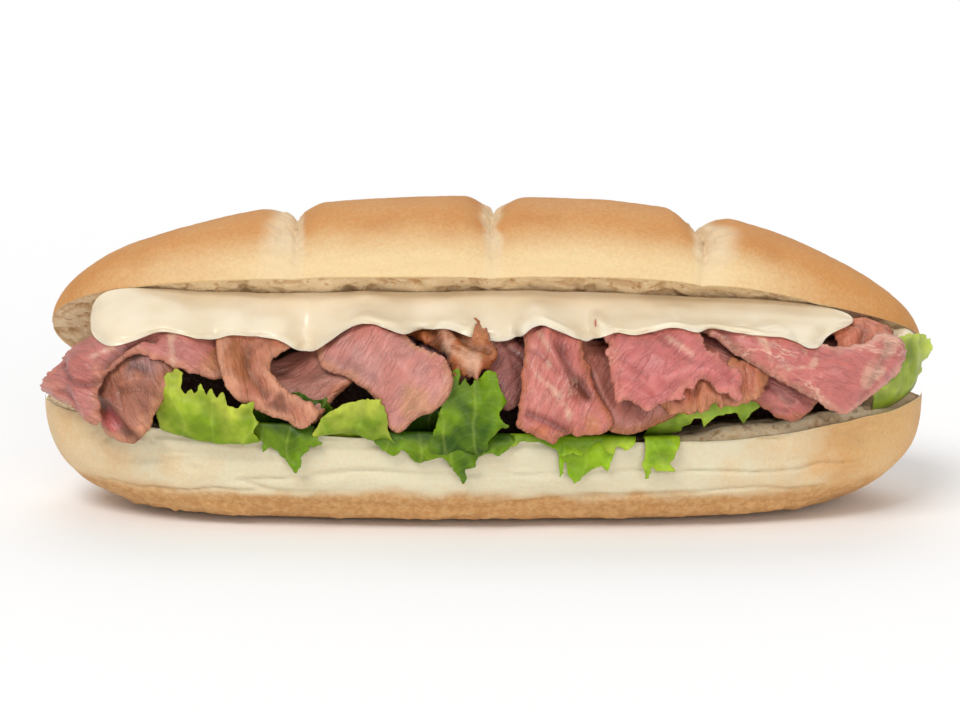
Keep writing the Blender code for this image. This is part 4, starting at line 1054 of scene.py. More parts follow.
def makeSlice(name, number, slice_, x, s, flat, low, surface):
    # a slice as two heights over the lattice inside its outline: top = low + body. A fold adds
    # rise e^-(d / width)^1.5 at a distance d from its line, and a crease takes depth e^-(d / width)^2
    seed = 100 + 7 * number
    reach = signedReach(slice_["outline"], x, s)
    torn = 0.8 * layeredNoise(flat, 4.0, 4, seed) + 0.5 * layeredNoise(flat, 1.7, 2, seed + 10)
    reach = reach + slice_["ragged"] * torn * smoothStep(6, 1, np.abs(reach))
    relief = 0.25 * layeredNoise(flat, 9.0, 2, seed + 1)
    for line, width, rise in slice_.get("folds", []):
        relief = relief + rise * np.exp(-((lineDistance(curveThrough(line), x, s) / width) ** 1.5))
    # crease: how far each crease's colour is darkened, as painted shade
    crease = np.zeros_like(x)
    for line, width, depth in slice_.get("creases", []):
        groove = np.exp(-((lineDistance(curveThrough(line), x, s) / width) ** 2))
        relief = relief - depth * groove
        crease = np.maximum(crease, groove * min(depth, 1.2) / 1.2)
    relief = relief + slice_.get("crumpled", 0) * 2 * np.abs(layeredNoise(flat, 3.2, 3, seed + 2))
    turn = math.radians(slice_["fibres"])
    u, v = x * math.cos(turn) + s * math.sin(turn), -x * math.sin(turn) + s * math.cos(turn)
    lay = np.stack([u * 0.30, v, np.full_like(u, number * 9.0)], -1)
    fibre = layeredNoise(lay, 1.0, 2, seed + 3)
    relief = relief + 0.32 * layeredNoise(lay, 3.0, 3, seed + 4)
    # the rim droops onto what lies below it and is frilled, and the slice thins out to it
    towardsRim = np.exp(-np.clip(reach, 0, None) / 2.0)
    frill = (0.25 + 0.75 * slice_["ragged"]) * 0.7 * layeredNoise(flat, 3.4, 2, seed + 9) * towardsRim
    low = low - 1.1 * towardsRim + 0.35 * np.minimum(relief, 0.8) + frill
    low = np.maximum(low, surface + 0.12)
    rounded = np.sqrt(1 - (1 - np.clip(reach / 0.8, 0, 1)) ** 2)
    body = np.maximum(pile["thickness"] * (0.30 + 0.40 * rounded) + 0.75 * relief + 0.05 * fibre, 0.45)
    top = low + body

    used, quads, rim, onRim, places, inward = cutSheet(reach, x, s, pile["fine"])
    upper, lower = pilePoint(*places.T, top.ravel()[used]), pilePoint(*places.T, low.ravel()[used])
    middleN = 0.5 * (top + low).ravel()[used][onRim]
    ring = pilePoint(*(places[onRim] - 0.25 * inward[onRim]).T, middleN)
    points, faces = sheetShell(upper, lower, ring, quads, rim, onRim)

    first, second = (linear(*tone) for tone in slice_["tones"])
    share = np.clip(0.5 + 0.8 * layeredNoise(flat, 7.0, 3, seed + 5), 0, 1)[..., None]
    tone = first + (second - first) * share
    for (middleX, middleS), radius, colour in slice_.get("patches", []):
        distance = np.hypot(x - middleX, s - middleS) / radius + 0.35 * layeredNoise(flat, 2.5, 3, seed + 6)
        tone = tone + (linear(*colour) - tone) * smoothStep(1.25, 0.55, distance)[..., None]
    rimTone, rimWidth = slice_["rim"]
    rimShare = smoothStep(1.2, 0.2, reach / rimWidth + 0.5 * layeredNoise(flat, 2.2, 3, seed + 7))
    tone = tone + (linear(*rimTone) - tone) * (0.85 * rimShare)[..., None]
    fat = np.zeros_like(x)
    for line, width in slice_.get("fat", []):
        uneven = 0.8 * layeredNoise(flat, 2.0, 3, seed + 8)
        distance = lineDistance(curveThrough(line), x, s) / width + uneven
        fat = np.maximum(fat, smoothStep(1.2, 0.2, distance))
    tone = tone + (fatCream - tone) * (0.6 * fat)[..., None]
    mottle = 1 + 0.05 * fibre + 0.05 * layeredNoise(flat, 2.4, 3, seed + 11)
    # the creases are painted up to half as dark: painted shade in them
    tone = tone * pile["moist"] * mottle[..., None] * (1 - 0.5 * crease)[..., None]
    tone = np.clip(tone, 0, 1).reshape(-1, 3)[used]
    lay = lay.reshape(-1, 3)[used] * mm
    # the slices' lower faces are painted at 40% of their tone and their rounded edges at 85%: painted shade
    # under and between the slices
    marks = {
        "tone": np.concatenate([tone, tone * 0.40, tone[onRim] * 0.85]),
        "lay": np.concatenate([lay, lay, lay[onRim]]),
        "marble": np.full(len(points), slice_.get("marbled", 0.25)),
    }
    addPiece("slice_" + name[-2:], points, faces, beefFinish, [name], marks)
    return np.where(reach > -0.4, np.maximum(top, surface), surface)


def thinLines(tree, place, size, rough):
    # 0 where a noise crosses its middle value, which it does along thin winding lines: |noise - 0.5|
    noise = speckle(tree, place, size, 4, rough)
    return combine(tree, "ABSOLUTE", combine(tree, "SUBTRACT", noise, 0.5), 0)


def makeBeefFinish():
    # moist meat: its own tones, streaked along its fibres, with threads of fat and a gloss that varies
    settings = {
        "Subsurface Weight": 0.15, "Subsurface Scale": 0.0020, "Subsurface Radius": (1.0, 0.35, 0.25),
        "Specular IOR Level": 0.5,
    }
    material, tree, shader = newFinish("beef", settings)
    place = objectPlace(tree)
    lay = readMark(tree, "lay", "Vector")
    streak = speckle(tree, lay, 0.0007, 3, 0.6)
    grain = speckle(tree, place, 0.0005, 2, 0.6)
    broad = speckle(tree, place, 0.0045, 3)
    streaks = remap(tree, streak, 0.30, 0.70, (0.92, 1.06))
    shade = combine(tree, "MULTIPLY", streaks, remap(tree, grain, 0.3, 0.7, (0.93, 1.06)))
    shade = combine(tree, "MULTIPLY", shade, remap(tree, broad, 0.30, 0.70, (0.90, 1.08)))
    wrinkle = thinLines(tree, lay, 0.0026, 0.6)
    # thin wrinkle lines are painted down to 84%: painted shade in them, on top of the bump they make below
    shade = combine(tree, "MULTIPLY", shade, remap(tree, wrinkle, 0.0, 0.030, (0.84, 1.0)))
    tone = mixed(tree, 1.0, readMark(tree, "tone", "Color"), shade, "MULTIPLY")
    thread = remap(tree, thinLines(tree, lay, 0.0042, 0.62), 0.002, 0.020, (1, 0))
    thread = combine(tree, "MULTIPLY", thread, remap(tree, speckle(tree, place, 0.009, 2), 0.45, 0.60))
    thread = combine(tree, "MULTIPLY", thread, combine(tree, "MULTIPLY", readMark(tree, "marble"), 0.65))
    tree.links.new(mixed(tree, thread, tone, fatCream), shader.inputs["Base Color"])
    tree.links.new(remap(tree, broad, 0.35, 0.65, (0.30, 0.50)), shader.inputs["Roughness"])
    relief = combine(tree, "MULTIPLY", streak, 0.35)
    relief = combine(tree, "ADD", relief, combine(tree, "MULTIPLY", grain, 0.6))
    relief = combine(tree, "ADD", relief, remap(tree, wrinkle, 0.0, 0.06))
    roughen(tree, shader, relief, 0.00022, 0.7)
    return material


beefFinish = makeBeefFinish()
makeInnerFolds()
pileSurface = layBeef()
print("beef laid:", len(beef), "slices")


# the mayonnaise

mayonnaise = {
    "ends": (-88.3, 83.0),
    # along the roll in mm: how far its upper edge lies back from the crown's cut edge, and how high its
    # lower edge hangs
    "front": [
        (-88, 9), (-80, 8.5), (-60, 8.5), (-40, 8.6), (-25, 7.5), (-10, 7.6), (5, 7.0), (20, 7.8), (40, 8.4),
        (60, 9), (75, 8.5), (83, 10),
    ],
    "lower": [
        (-90, 42.0), (-84, 41.0), (-79, 42.5), (-74, 44.2), (-69, 47.0), (-64, 46.6), (-60, 45.8),
        (-54, 44.2), (-49, 43.4), (-44, 42.6), (-39, 42.8), (-34, 44.0), (-29, 47.4), (-25, 49.2),
        (-19, 48.6), (-13, 47.8), (-8, 46.0), (-2, 44.6), (2, 45.8), (6, 47.8), (11, 48.0), (15, 46.6),
        (20, 44.4), (26, 44.4), (30, 46.4), (36, 47.4), (45, 47.0), (52, 46.0), (60, 45.0), (68, 44.2),
        (73, 44.0), (78, 44.2), (84, 46.6),
    ],
    "back": 18.0,
    "colour": linear(236, 222, 196),
    "shade": linear(226, 209, 178),
    # a dab of it at the right end: its middle and half its size
    "dab": ((0.0934, -0.0064, 0.0392), (0.0040, 0.0050, 0.0022)),
}


def underCrown(x, w, t):
    # w from the hinge along the cut, t down from it: the crown's own turn about the hinge
    c = bread["crown"]
    curl = c["curl"] * np.abs(x / c["halfLength"]) ** 4
    angle = openingAt(x)
    y = c["hingeY"] - w * np.cos(angle) - t * np.sin(angle)
    z = c["hingeZ"] + w * np.sin(angle) - t * np.cos(angle) + curl
    # the crown's right end droops, and was drawn out by about 2 mm where the bead ends
    z = z - bread["rightEnd"][1] * drawnOut(x - 0.002)
    return np.stack(np.broadcast_arrays(x, y, z), -1)


def makeMayonnaise(surface):
    # a bead from the crown's cut down to where it rests on the beef: each section is a Bezier curve,
    # (1 - t)^3 a + 3 (1 - t)^2 t b + 3 (1 - t) t^2 c + t^3 d
    fx, fs = np.meshgrid(fineX, fineS, indexing="ij")
    top = pilePoint(fx, fs, surface + 0.25)
    front, height = top[..., 1], top[..., 2]
    wanted = along(mayonnaise["lower"], fineX) * mm
    inReach = (fs >= 16) & (fs <= 44)
    # where the beef lies too low, the bead sinks down to it
    highest = blurred(np.where(inReach, height, 0).max(1), 3, 0) - 0.0008
    wanted = np.minimum(wanted, highest)
    allowed = (height >= wanted[:, None]) & inReach
    lowest = fineS.size - 1 - np.argmax(allowed[:, ::-1], 1)
    last = np.where(allowed.any(1), lowest, np.searchsorted(fineS, 27))
    rest = top[np.arange(fineX.size), last]
    rest[:, 2] = blurred(wanted, 3, 0)
    rest[:, 1] = blurred(rest[:, 1], 5, 0) - 0.0006
    # how far forward the beef reaches at each level and above it
    levels = np.arange(0.030, 0.060, 0.0005)
    ahead = np.stack([np.where(inReach & (height >= level), front, 0.02).min(1) for level in levels], -1)
    ahead = blurred(np.stack([np.roll(ahead, k, 0) for k in range(-3, 4)]).min(0), 1.5, 0) - 0.0015
    first, end = mayonnaise["ends"]
    x = np.linspace(first, end, 470) * mm
    restY, restZ = np.interp(x / mm, fineX, rest[:, 1]), np.interp(x / mm, fineX, rest[:, 2])
    c = bread["crown"]
    wobble = 0.5 * layeredNoise(np.stack([x, 0 * x, 0 * x], -1), 0.011, 3, 70)
    frontW = c["halfWidth"] * 2 - c["inset"] - (along(mayonnaise["front"], x / mm) + wobble) * mm
    upper = underCrown(x, frontW, -0.0002)
    lower = np.stack([x, restY, restZ], -1)
    chord = np.linalg.norm(lower - upper, axis=-1, keepdims=True)
    outward = np.stack([0 * x, np.full(x.size, -0.92), np.full(x.size, -0.38)], -1)
    below = np.stack([0 * x, np.full(x.size, -0.80), np.full(x.size, 0.25)], -1)
    t = np.linspace(0, 1, 44)[None, :, None]
    p0, p1, p2, p3 = (
        p[:, None] for p in (upper, upper + outward * chord * 0.42, lower + below * chord * 0.40, lower)
    )
    face = (1 - t) ** 3 * p0 + 3 * (1 - t) ** 2 * t * p1 + 3 * (1 - t) * t * t * p2 + t**3 * p3
    back = mayonnaise["back"] * mm
    share = np.linspace(0, 1, 14)[None, :, None]
    over = underCrown(x, back, -0.0002)[:, None] * (1 - share[:, :-1]) + upper[:, None] * share[:, :-1]
    under = lower[:, None] * (1 - share[:, 1:]) + underCrown(x, back, 0.0015)[:, None] * share[:, 1:]
    # slow swells, and soft ridges left by the spoon that run along the bead
    swell = 0.00085 * layeredNoise(face * np.array([0.8, 1, 1]), 0.011, 2, 72)
    turned = t[..., 0] * 7.5 + 2.2 * layeredNoise(face * np.array([0.35, 0.6, 0.6]), 0.012, 2, 75)
    ridge = 0.00030 * np.sin(turned)
    fade = np.sin(math.pi * np.clip(t[..., 0], 0, 1)) ** 0.6
    normal = surfaceNormals(face)
    normal *= -np.sign(normal[235, 22, 1])
    face = face + normal * ((swell + ridge) * fade)[..., None]
    # no beef stands out through it
    row = np.clip(np.round((x / mm - fineX[0]) / pile["fine"]).astype(int), 0, fineX.size - 1)[:, None]
    level = np.clip(np.round((face[..., 2] - levels[0]) / 0.0005).astype(int), 0, levels.size - 1)
    face[..., 1] = blurred(blurred(np.minimum(face[..., 1], ahead[row, level]), 1.5, 1), 1.5, 0)
    rings = np.concatenate([over, face, under], 1)
    middle = (0.5 * (upper + lower))[:, None]
    reach = np.clip(1 - np.abs(2 * (x - x[0]) / (x[-1] - x[0]) - 1) ** 26, 0, 1)[:, None, None] ** 0.5
    rings = middle + (rings - middle) * np.maximum(reach, 0.02)
    points, faces = ringSkin(rings)
    addPiece("mayonnaiseBead", points, faces, mayonnaiseFinish, ["mayonnaise"])


def makeDab():
    # an ellipsoid, swollen here and there, that hangs from the crown's cut
    middle, size = (np.array(part) for part in mayonnaise["dab"])
    polars, turns = np.linspace(0.04, math.pi - 0.04, 60), np.arange(0, 2 * math.pi, math.pi / 48)
    polar, turn = np.meshgrid(polars, turns, indexing="ij")
    way = np.stack([np.cos(polar), np.sin(polar) * np.cos(turn), np.sin(polar) * np.sin(turn)], -1)
    rings = middle + way * size * (1 + 0.30 * layeredNoise(way, 1.0, 2, 78))[..., None]
    points, faces = ringSkin(rings)
    addPiece("mayonnaiseDab", points, faces, mayonnaiseFinish, [])


def makeMayonnaiseFinish():
    settings = {
        "Roughness": 0.26, "Subsurface Weight": 0.35, "Subsurface Scale": 0.003, "Specular IOR Level": 0.5,
        "Subsurface Radius": (1.0, 0.8, 0.45),
    }
    material, tree, shader = newFinish("mayonnaise", settings)
    place = objectPlace(tree)
    broad = speckle(tree, place, 0.014, 3)
    tone = mixed(tree, remap(tree, broad, 0.35, 0.65), mayonnaise["colour"], mayonnaise["shade"])
    tree.links.new(tone, shader.inputs["Base Color"])
    roughen(tree, shader, speckle(tree, place, 0.0035, 2), 0.00010, 0.5)
    return material


mayonnaiseFinish = makeMayonnaiseFinish()
makeMayonnaise(pileSurface)
makeDab()
print("mayonnaise made")


# the lettuce: a blade is a sheet with an outline of its own, (q, r) in mm: q runs along the heel's lip from
# its front middle, and r along the blade's profile, from below 0 inside the roll to its free edge. The
# profile gives how far out from the lip and how high the blade then is, and dip lowers its fold there

profiles = {
    # over the lip, out in a short turn and up
    "upright": [
        (-13, 0.9), (-5, 0.7), (0, 0.5), (1.5, -0.2), (2.6, 0.5), (3.0, 1.8), (3.4, 5), (3.2, 10), (2.2, 15),
        (0.8, 20),
    ],
    # over the lip and down the side
    "hanging": [(-13, 1.2), (-5, 1.1), (0, 0.9), (1.2, -0.2), (1.7, -2), (1.9, -6), (2.4, -10), (3.0, -15)],
    # up from the cut, well inside the lip
    "inner": [(-14, 0.6), (-8, 0.8), (-4.5, 1.2), (-3.0, 2.6), (-2.4, 6), (-2.4, 10), (-3.0, 15)],
    # at the right end, up out of the roll
    "rising": [(-9, 0.5), (-4, 0.8), (-1.8, 1.8), (-0.7, 4), (0.1, 8), (0.2, 12), (-0.8, 16), (-3, 18)],
}
lettuce = {
    "leaf_1": {
        "node": "lettuce_1", "profile": "upright", "tones": ((178, 188, 62), (122, 150, 14)), "ruffle": 0.9,
        "dip": [(-73, 0.2), (-68, 1.4), (-64, 2.6), (-58, 3.4), (-52, 3.2), (-48, 2.6)],
        "outline": [
            (-50, -3), (-49.6, 2.9), (-50.5, 4.8), (-49.6, 7), (-50.8, 9.2), (-50.1, 11.9), (-52.6, 11.4),
            (-54.4, 10.9), (-56.4, 11.4), (-57.3, 13.8), (-58.7, 12.6), (-59.8, 15.0), (-61, 13.2),
            (-62.2, 16.0), (-63.6, 12.0), (-64.3, 14.8), (-65.4, 11.8), (-66.4, 13.6), (-65.9, 17.0),
            (-67.4, 17.6), (-69.8, 16.2), (-71.4, 13), (-72.4, 8), (-71.8, 3), (-70, -3), (-66, -10),
            (-53, -10),
        ],
    },
    "leaf_2a": {
        "node": "lettuce_2", "profile": "upright", "tones": ((180, 190, 66), (120, 150, 18)), "ruffle": 1.0,
        "dip": [(-38, 1.2), (-34, 0.0), (-29, -0.9), (-25, 0.6), (-22, 0.2), (-19, 1.6)],
        "outline": [
            (-19.5, -2), (-19, 1.4), (-20.6, 3.8), (-21.6, 8.2), (-22.6, 11.4), (-25.4, 12), (-28.3, 9.6),
            (-31.7, 8.4), (-35.6, 6.4), (-37.4, 3), (-36, -3), (-33, -10), (-21, -10),
        ],
    },
    "leaf_2b": {
        "node": "lettuce_2", "profile": "hanging", "tones": ((104, 134, 4), (52, 82, 0)), "ruffle": 0.8,
        "outline": [
            (-37.5, -2), (-37.4, 2.2), (-35.9, 4.3), (-38.2, 5.1), (-39.4, 6.8), (-40.8, 7.6), (-40.4, 9.9),
            (-41.3, 11.7), (-42.3, 10.2), (-44.1, 8.2), (-45.4, 6.8), (-47.2, 6.1), (-48.9, 7.8),
            (-49, 5.4), (-51.2, 3), (-51.4, -3), (-49, -9), (-39, -9),
        ],
    },
    "leaf_2c": {
        # its dark tones are painted shade of the deep gap between the front blades
        "node": "lettuce_2", "profile": "inner", "tones": ((76, 106, 6), (38, 64, 0)), "ruffle": 0.8,
        "outline": [
            (-53, -4), (-52.6, 3), (-50, 5.6), (-46, 4.6), (-42, 6.4), (-38, 5.0), (-35, 5.6), (-33, 2),
            (-34, -4),
        ],
    },
    "leaf_3a": {
        "node": "lettuce_3", "profile": "hanging", "tones": ((108, 138, 2), (50, 82, 0)), "ruffle": 1.0,
        "outline": [
            (6, -3), (6.9, 1.8), (5.4, 4), (3.3, 5.6), (1.3, 4.6), (-1.2, 6.1), (-2.0, 7.8), (-4.2, 8.6),
            (-3.8, 10.6), (-4.5, 12.3), (-5.5, 10.4), (-6.7, 9.2), (-8.0, 7.4), (-9.2, 5.8), (-11.8, 6.6),
            (-14.3, 7.8), (-15.9, 6.3), (-18.0, 4.6), (-19.8, 6.1), (-22.4, 4.6), (-24, 2.6), (-24, -3),
            (-20, -9), (3, -9),
        ],
    },
    "leaf_3b": {
        # its dark tones are painted shade: the hollow behind the hanging blades is deep in shadow
        "node": "lettuce_3", "profile": "inner", "tones": ((70, 100, 4), (34, 58, 0)), "ruffle": 0.7,
        "outline": [
            (-3, -2), (-2.5, 4), (-4, 9.5), (-8, 12.6), (-13, 12.4), (-18, 10.5), (-22, 7), (-22.5, 1),
            (-21, -6), (-12, -8), (-5, -6),
        ],
    },
    "leaf_4": {
        "node": "lettuce_4", "profile": "upright", "tones": ((110, 142, 2), (48, 80, 0)), "ruffle": 1.3,
        "dip": [(-14, 2.0), (-9, 3.2), (-5, 2.2), (-1, 3.0), (3, 1.4), (8, 1)],
        "outline": [
            (0, -3), (1.6, 1.0), (1.2, 4.6), (3.2, 6.4), (5.8, 7), (4.2, 8.8), (3.2, 10.6), (4.8, 12.6),
            (3.8, 14.4), (2.9, 16.2), (2.8, 19.2), (0.3, 20.4), (-2.2, 18.8), (-3.0, 16.2), (-4.0, 19),
            (-5.4, 16.8), (-5.2, 19), (-4.8, 21.4), (-6.6, 20.2), (-8.2, 16.6), (-9.2, 13), (-10.8, 9.4),
            (-11.8, 5.4), (-10.5, -3), (-8, -9), (-2, -9),
        ],
    },
    "leaf_5a": {
        "node": "lettuce_5", "profile": "hanging", "tones": ((168, 194, 44), (122, 158, 14)), "ruffle": 0.8,
        "outline": [
            (34, -3), (33.5, 2.4), (31.3, 3.3), (29.4, 3.0), (28.9, 4.6), (26.7, 3.7), (25.2, 5.1),
            (23.3, 4), (21.6, 5.1), (19.8, 4.1), (18.2, 4.6), (16.6, 5.3), (15.8, 3.5), (12.5, 2.2),
            (8.5, 2.0), (5.4, 3.5), (3.0, 4.3), (3.4, 1), (5, -4), (10, -9), (30, -9),
        ],
    },
    "leaf_5b": {
        "node": "lettuce_5", "profile": "hanging", "tones": ((146, 182, 22), (104, 146, 6)), "ruffle": 0.8,
        "under": 0.6,
        "outline": [
            (28, -3), (29.2, 3.8), (28.2, 6), (27.5, 8.7), (26.1, 7.3), (23.9, 8.1), (21.8, 9.6),
            (20.3, 11.7), (18.8, 10.1), (18.0, 7.1), (17.1, 9.7), (16.4, 5.5), (16.4, 1), (18, -6),
            (26, -6),
        ],
    },
    "leaf_5c": {
        "node": "lettuce_5", "profile": "hanging", "tones": ((176, 198, 50), (132, 168, 18)), "ruffle": 0.7,
        "outline": [
            (43.5, -3), (43.4, 2), (42.3, 4.1), (41.4, 6.3), (42.3, 8.2), (40.4, 7.9), (38.6, 8.2),
            (37.2, 7.8), (36.1, 10.1), (35.2, 6.3), (35.8, 2.4), (35.6, -3), (37, -7), (42, -7),
        ],
    },
    "leaf_5d": {
        "node": "lettuce_5", "profile": "inner", "tones": ((164, 188, 64), (126, 158, 34)), "ruffle": 0.7,
        "outline": [
            (41, -1), (44.5, 0.4), (44.2, 1.2), (46.4, 2.0), (46.8, 3.6), (48.6, 3.8), (49.4, 1.2),
            (50.6, 3.6), (54, 4.2), (57.0, 3.6), (58.6, 1.0), (60, 3.6), (62.4, 4.6), (61, 7.6), (55, 8.6),
            (49, 8.4), (45, 7.4), (41, 5), (37, 2), (36, -2), (38, -6), (41, -6),
        ],
    },
    "leaf_6": {
        "node": "lettuce_6", "profile": "rising", "tones": ((184, 196, 88), (132, 150, 40)), "ruffle": 1.6,
        "outline": [
            (104, -4), (107.5, 0), (109.5, 3.6), (111, 7.0), (110, 9.6), (110.6, 11.4), (108, 12.6),
            (105, 14), (100, 14.8), (95.4, 14.4), (92.4, 12.6), (90.4, 9.4), (89.6, 5.6), (90.4, 1),
            (93, -4), (98, -5),
        ],
    },
}
bladeSpacing, bladeThickness, bladeFoot = 0.24, 0.55, 1.5
leafVein, leafShade = linear(190, 204, 96), linear(60, 92, 8)
# how much higher the blades lie than the heel's cut, along its lip in mm: they rest on its raised front
bladeRaise = [
    (-110, 2.2), (-75, 2.6), (-60, 4.0), (-44, 4.4), (-22, 3.2), (4, 2.6), (30, 1.8), (50, 1.2), (73, 2.2),
    (86, 2.6), (110, 2.6),
]


def lipPlace(q):
    # the heel's outline as a superellipse, read at q along it, with the way out from it
    h = bread["heel"]
    alongPower, acrossPower = h["plan"]
    turn = np.linspace(-math.pi / 2, math.pi / 2, 1441)
    x = h["halfLength"] * np.sign(turn) * np.abs(np.sin(turn)) ** (2 / alongPower)
    y = -h["halfWidth"] * np.abs(np.cos(turn)) ** (2 / acrossPower)
    run = lineRun(x, y)
    run -= run[720]
    ax, ay = np.interp(q + 0.002, run, x), np.interp(q + 0.002, run, y)
    bx, by = np.interp(q - 0.002, run, x), np.interp(q - 0.002, run, y)
    length = np.hypot(ax - bx, ay - by)
    return np.interp(q, run, x), np.interp(q, run, y), (ay - by) / length, -(ax - bx) / length


def bladePlace(q, r, n, blade):
    # the profile read at r, pushed out by n across it, turned to face out from the lip at q. r is 0 where it
    # crosses the lip, or inside the roll where it stands as high as the blade's foot
    line = curveThrough(profiles[blade["profile"]])
    run = lineRun(*line.T)
    if blade["profile"] in ("inner", "rising"):
        run -= np.interp(bladeFoot, line[:, 1], run)
    else:
        outwards = line[:, 0].argmax() + 1
        run -= np.interp(0, line[:outwards, 0], run[:outwards])
    # its outer face is turned to the front: out is up for a hanging blade and down for the others
    faces = -1 if blade["profile"] == "hanging" else 1
    ahead, before = r + 0.6, r - 0.6
    dOut = np.interp(ahead, run, line[:, 0]) - np.interp(before, run, line[:, 0])
    dUp = np.interp(ahead, run, line[:, 1]) - np.interp(before, run, line[:, 1])
    length = np.maximum(np.hypot(dOut, dUp), 1e-6)
    out = np.interp(r, run, line[:, 0]) + n * dUp / length * faces
    up = np.interp(r, run, line[:, 1]) - n * dOut / length * faces
    up = up - along(blade.get("dip", [(-200, 0), (200, 0)]), q) * smoothStep(-0.5, 2.2, r)
    up = up + along(bladeRaise, q) * smoothStep(-5, 1.5, r)
    px, py, nx, ny = lipPlace(q * mm)
    out = out - blade.get("under", 0)
    return np.stack([px + nx * out * mm, py + ny * out * mm, cutHeight(px) + up * mm], -1)


def makeBlade(number, name, blade):
    # a sheet over the grid inside its outline, with veins, billows, and ruffles that grow towards its edge
    box = np.array(blade["outline"])
    q, r = np.meshgrid(
        np.arange(box[:, 0].min() - 2, box[:, 0].max() + 2, bladeSpacing),
        np.arange(box[:, 1].min() - 2, box[:, 1].max() + 2, bladeSpacing),
        indexing="ij",
    )
    flat = np.stack([q, r, np.full_like(q, number * 11.0)], -1)
    reach = signedReach(blade["outline"], q, r, 1)
    free = smoothStep(0.5, 4.0, r)
    # small teeth along the free edge
    teeth = 0.40 * layeredNoise(flat, 1.9, 2, 140) - 0.20 * np.abs(softNoise(flat, 0.9, 141))
    reach = reach + free * teeth
    # veins fan out from the root and fork: ridges where a warped wave crosses zero
    middle = box[:, 0].mean()
    bend = 1.8 * layeredNoise(flat, 8.0, 2, 110)
    fan = (q - middle) / (1 + np.clip(r, -8, None) / 30) + bend
    main = np.exp(-((np.sin(fan / 6.2 * math.pi) / 0.14) ** 2))
    side = np.exp(-((np.sin((np.abs(fan) * 0.7 + r) / 2.4 * math.pi) / 0.20) ** 2))
    vein = np.clip(main + 0.45 * side, 0, 1)
    quilt = layeredNoise(flat, 2.6, 2, 120)
    # the blade billows softly, and its edge ruffles more and more
    edge = np.exp(-np.clip(reach, 0, None) / 2.6)
    ruffle = blade["ruffle"] * 0.95 * edge * layeredNoise(flat, 3.6, 2, 153)
    billow = 0.95 * layeredNoise(flat, 7.0, 2, 150) + ruffle
    lift = np.maximum(billow, -0.35) * (0.1 + 0.9 * free) + (0.16 * vein + 0.22 * quilt) * (0.2 + 0.8 * free)
    used, quads, rim, onRim, places, inward = cutSheet(reach, q, r, bladeSpacing)
    lift = lift.ravel()[used]
    thickness = (bladeThickness * (1 - 0.45 * edge)).ravel()[used]
    upper = bladePlace(*places.T, lift + thickness, blade)
    lower = bladePlace(*places.T, lift, blade)
    ring = bladePlace(*(places[onRim] - 0.10 * inward[onRim]).T, (lift + thickness / 2)[onRim], blade)
    points, faces = sheetShell(upper, lower, ring, quads, rim, onRim)
    first, second = (linear(*tone) for tone in blade["tones"])
    # lighter towards the free edge as a painted highlight, darker towards the root inside the roll as
    # painted shade, and varied at random
    paintedLightAndTone = 0.38 + 0.55 * edge + 0.8 * layeredNoise(flat, 6.0, 3, 130) - 0.6 * (1 - free)
    share = np.clip(paintedLightAndTone, 0, 1)[..., None]
    tone = second + (first - second) * share
    tone = tone + (leafVein - tone) * (0.18 * vein * (0.3 + 0.7 * free))[..., None]
    # lighter where the blade billows and quilts out and darker in its dips: painted light and shade of its
    # relief
    tone = np.clip(tone * (0.96 + 0.16 * quilt + 0.22 * billow)[..., None], 0, 1).reshape(-1, 3)[used]
    # its lower face is painted a tenth darker: painted shade
    tone = np.concatenate([tone, tone * 0.9, tone[onRim]])
    addPiece(name, points, faces, leafFinish, [blade["node"]], {"tone": tone})


def makeLeafFinish():
    settings = {
        "Roughness": 0.42, "Subsurface Weight": 0.25, "Subsurface Scale": 0.0015, "Specular IOR Level": 0.25,
        "Subsurface Radius": (0.5, 1.0, 0.15),
    }
    material, tree, shader = newFinish("leaf", settings)
    place = objectPlace(tree)
    fine = speckle(tree, place, 0.0012, 3)
    tone = readMark(tree, "tone", "Color")
    shaded = mixed(tree, remap(tree, fine, 0.35, 0.65, (0.15, 0)), tone, leafShade)
    tree.links.new(shaded, shader.inputs["Base Color"])
    roughen(tree, shader, fine, 0.00020, 0.6)
    return material


leafFinish = makeLeafFinish()
for number, (name, blade) in enumerate(lettuce.items()):
    makeBlade(number, name, blade)
print("lettuce made:", len(lettuce), "blades")


# floor, light and camera

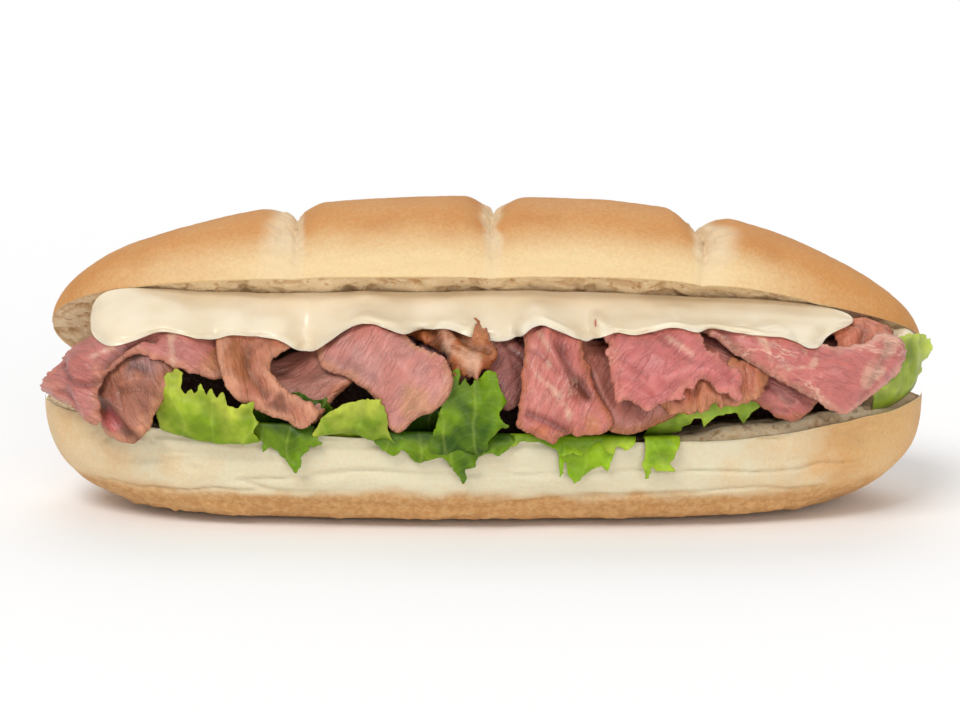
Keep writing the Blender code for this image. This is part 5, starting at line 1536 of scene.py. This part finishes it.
studio = {
    "target": (-0.0008, -0.012, 0.0358), "distance": 0.90, "elevation": math.radians(12),
    "imageWidth": 960, "metresPerPixel": 0.0002262, "sensorWidth": 36,
    "sky": 0.46, "floor": (1, 1, 1, 1), "floorReach": 6.0, "floorDrop": 0.0002,
    # each light: where it stands as seen from the roll, how soft it is in radians, and its strength
    "lights": {
        "key": ((-0.40, -0.70, 0.95), 0.45, 1.38),
        "fill": ((0.30, -1.0, 0.26), 0.6, 0.90),
        "rear": ((0.0, 0.70, 0.90), 0.9, 0.55),
    },
}


def aimed(piece, place, target):
    # a light or camera that stands at a place and looks at its target
    piece.location = place
    piece.rotation_mode = "QUATERNION"
    piece.rotation_quaternion = (Vector(target) - Vector(place)).to_track_quat("-Z", "Y")
    bpy.context.scene.collection.objects.link(piece)


def makeStudio():
    scene = bpy.context.scene
    scene.view_settings.view_transform = "Standard"
    world = bpy.data.worlds.new("sky")
    world.use_nodes = True
    world.node_tree.nodes["Background"].inputs["Color"].default_value = (1, 1, 1, 1)
    world.node_tree.nodes["Background"].inputs["Strength"].default_value = studio["sky"]
    scene.world = world
    reach, level = studio["floorReach"], -studio["floorDrop"]
    mesh = bpy.data.meshes.new("floor")
    corners = [(x * reach, y * reach, level) for x, y in ((-1, -1), (1, -1), (1, 1), (-1, 1))]
    mesh.from_pydata(corners, [], [(0, 1, 2, 3)])
    settings = {"Base Color": studio["floor"], "Roughness": 0.9, "Specular IOR Level": 0.0}
    mesh.materials.append(newFinish("floor", settings)[0])
    floor = bpy.data.objects.new("floor", mesh)
    scene.collection.objects.link(floor)
    for name, (place, softness, power) in studio["lights"].items():
        lamp = bpy.data.lights.new(name, "SUN")
        lamp.angle = softness
        lamp.energy = power
        aimed(bpy.data.objects.new(name, lamp), place, (0, 0, 0))
    away = studio["distance"]
    tilt = studio["elevation"]
    tx, ty, tz = studio["target"]
    camera = bpy.data.cameras.new("camera")
    camera.sensor_width = studio["sensorWidth"]
    camera.lens = studio["sensorWidth"] * away / (studio["imageWidth"] * studio["metresPerPixel"])
    eye = bpy.data.objects.new("camera", camera)
    aimed(eye, (tx, ty - away * math.cos(tilt), tz + away * math.sin(tilt)), studio["target"])
    scene.camera = eye


makeStudio()
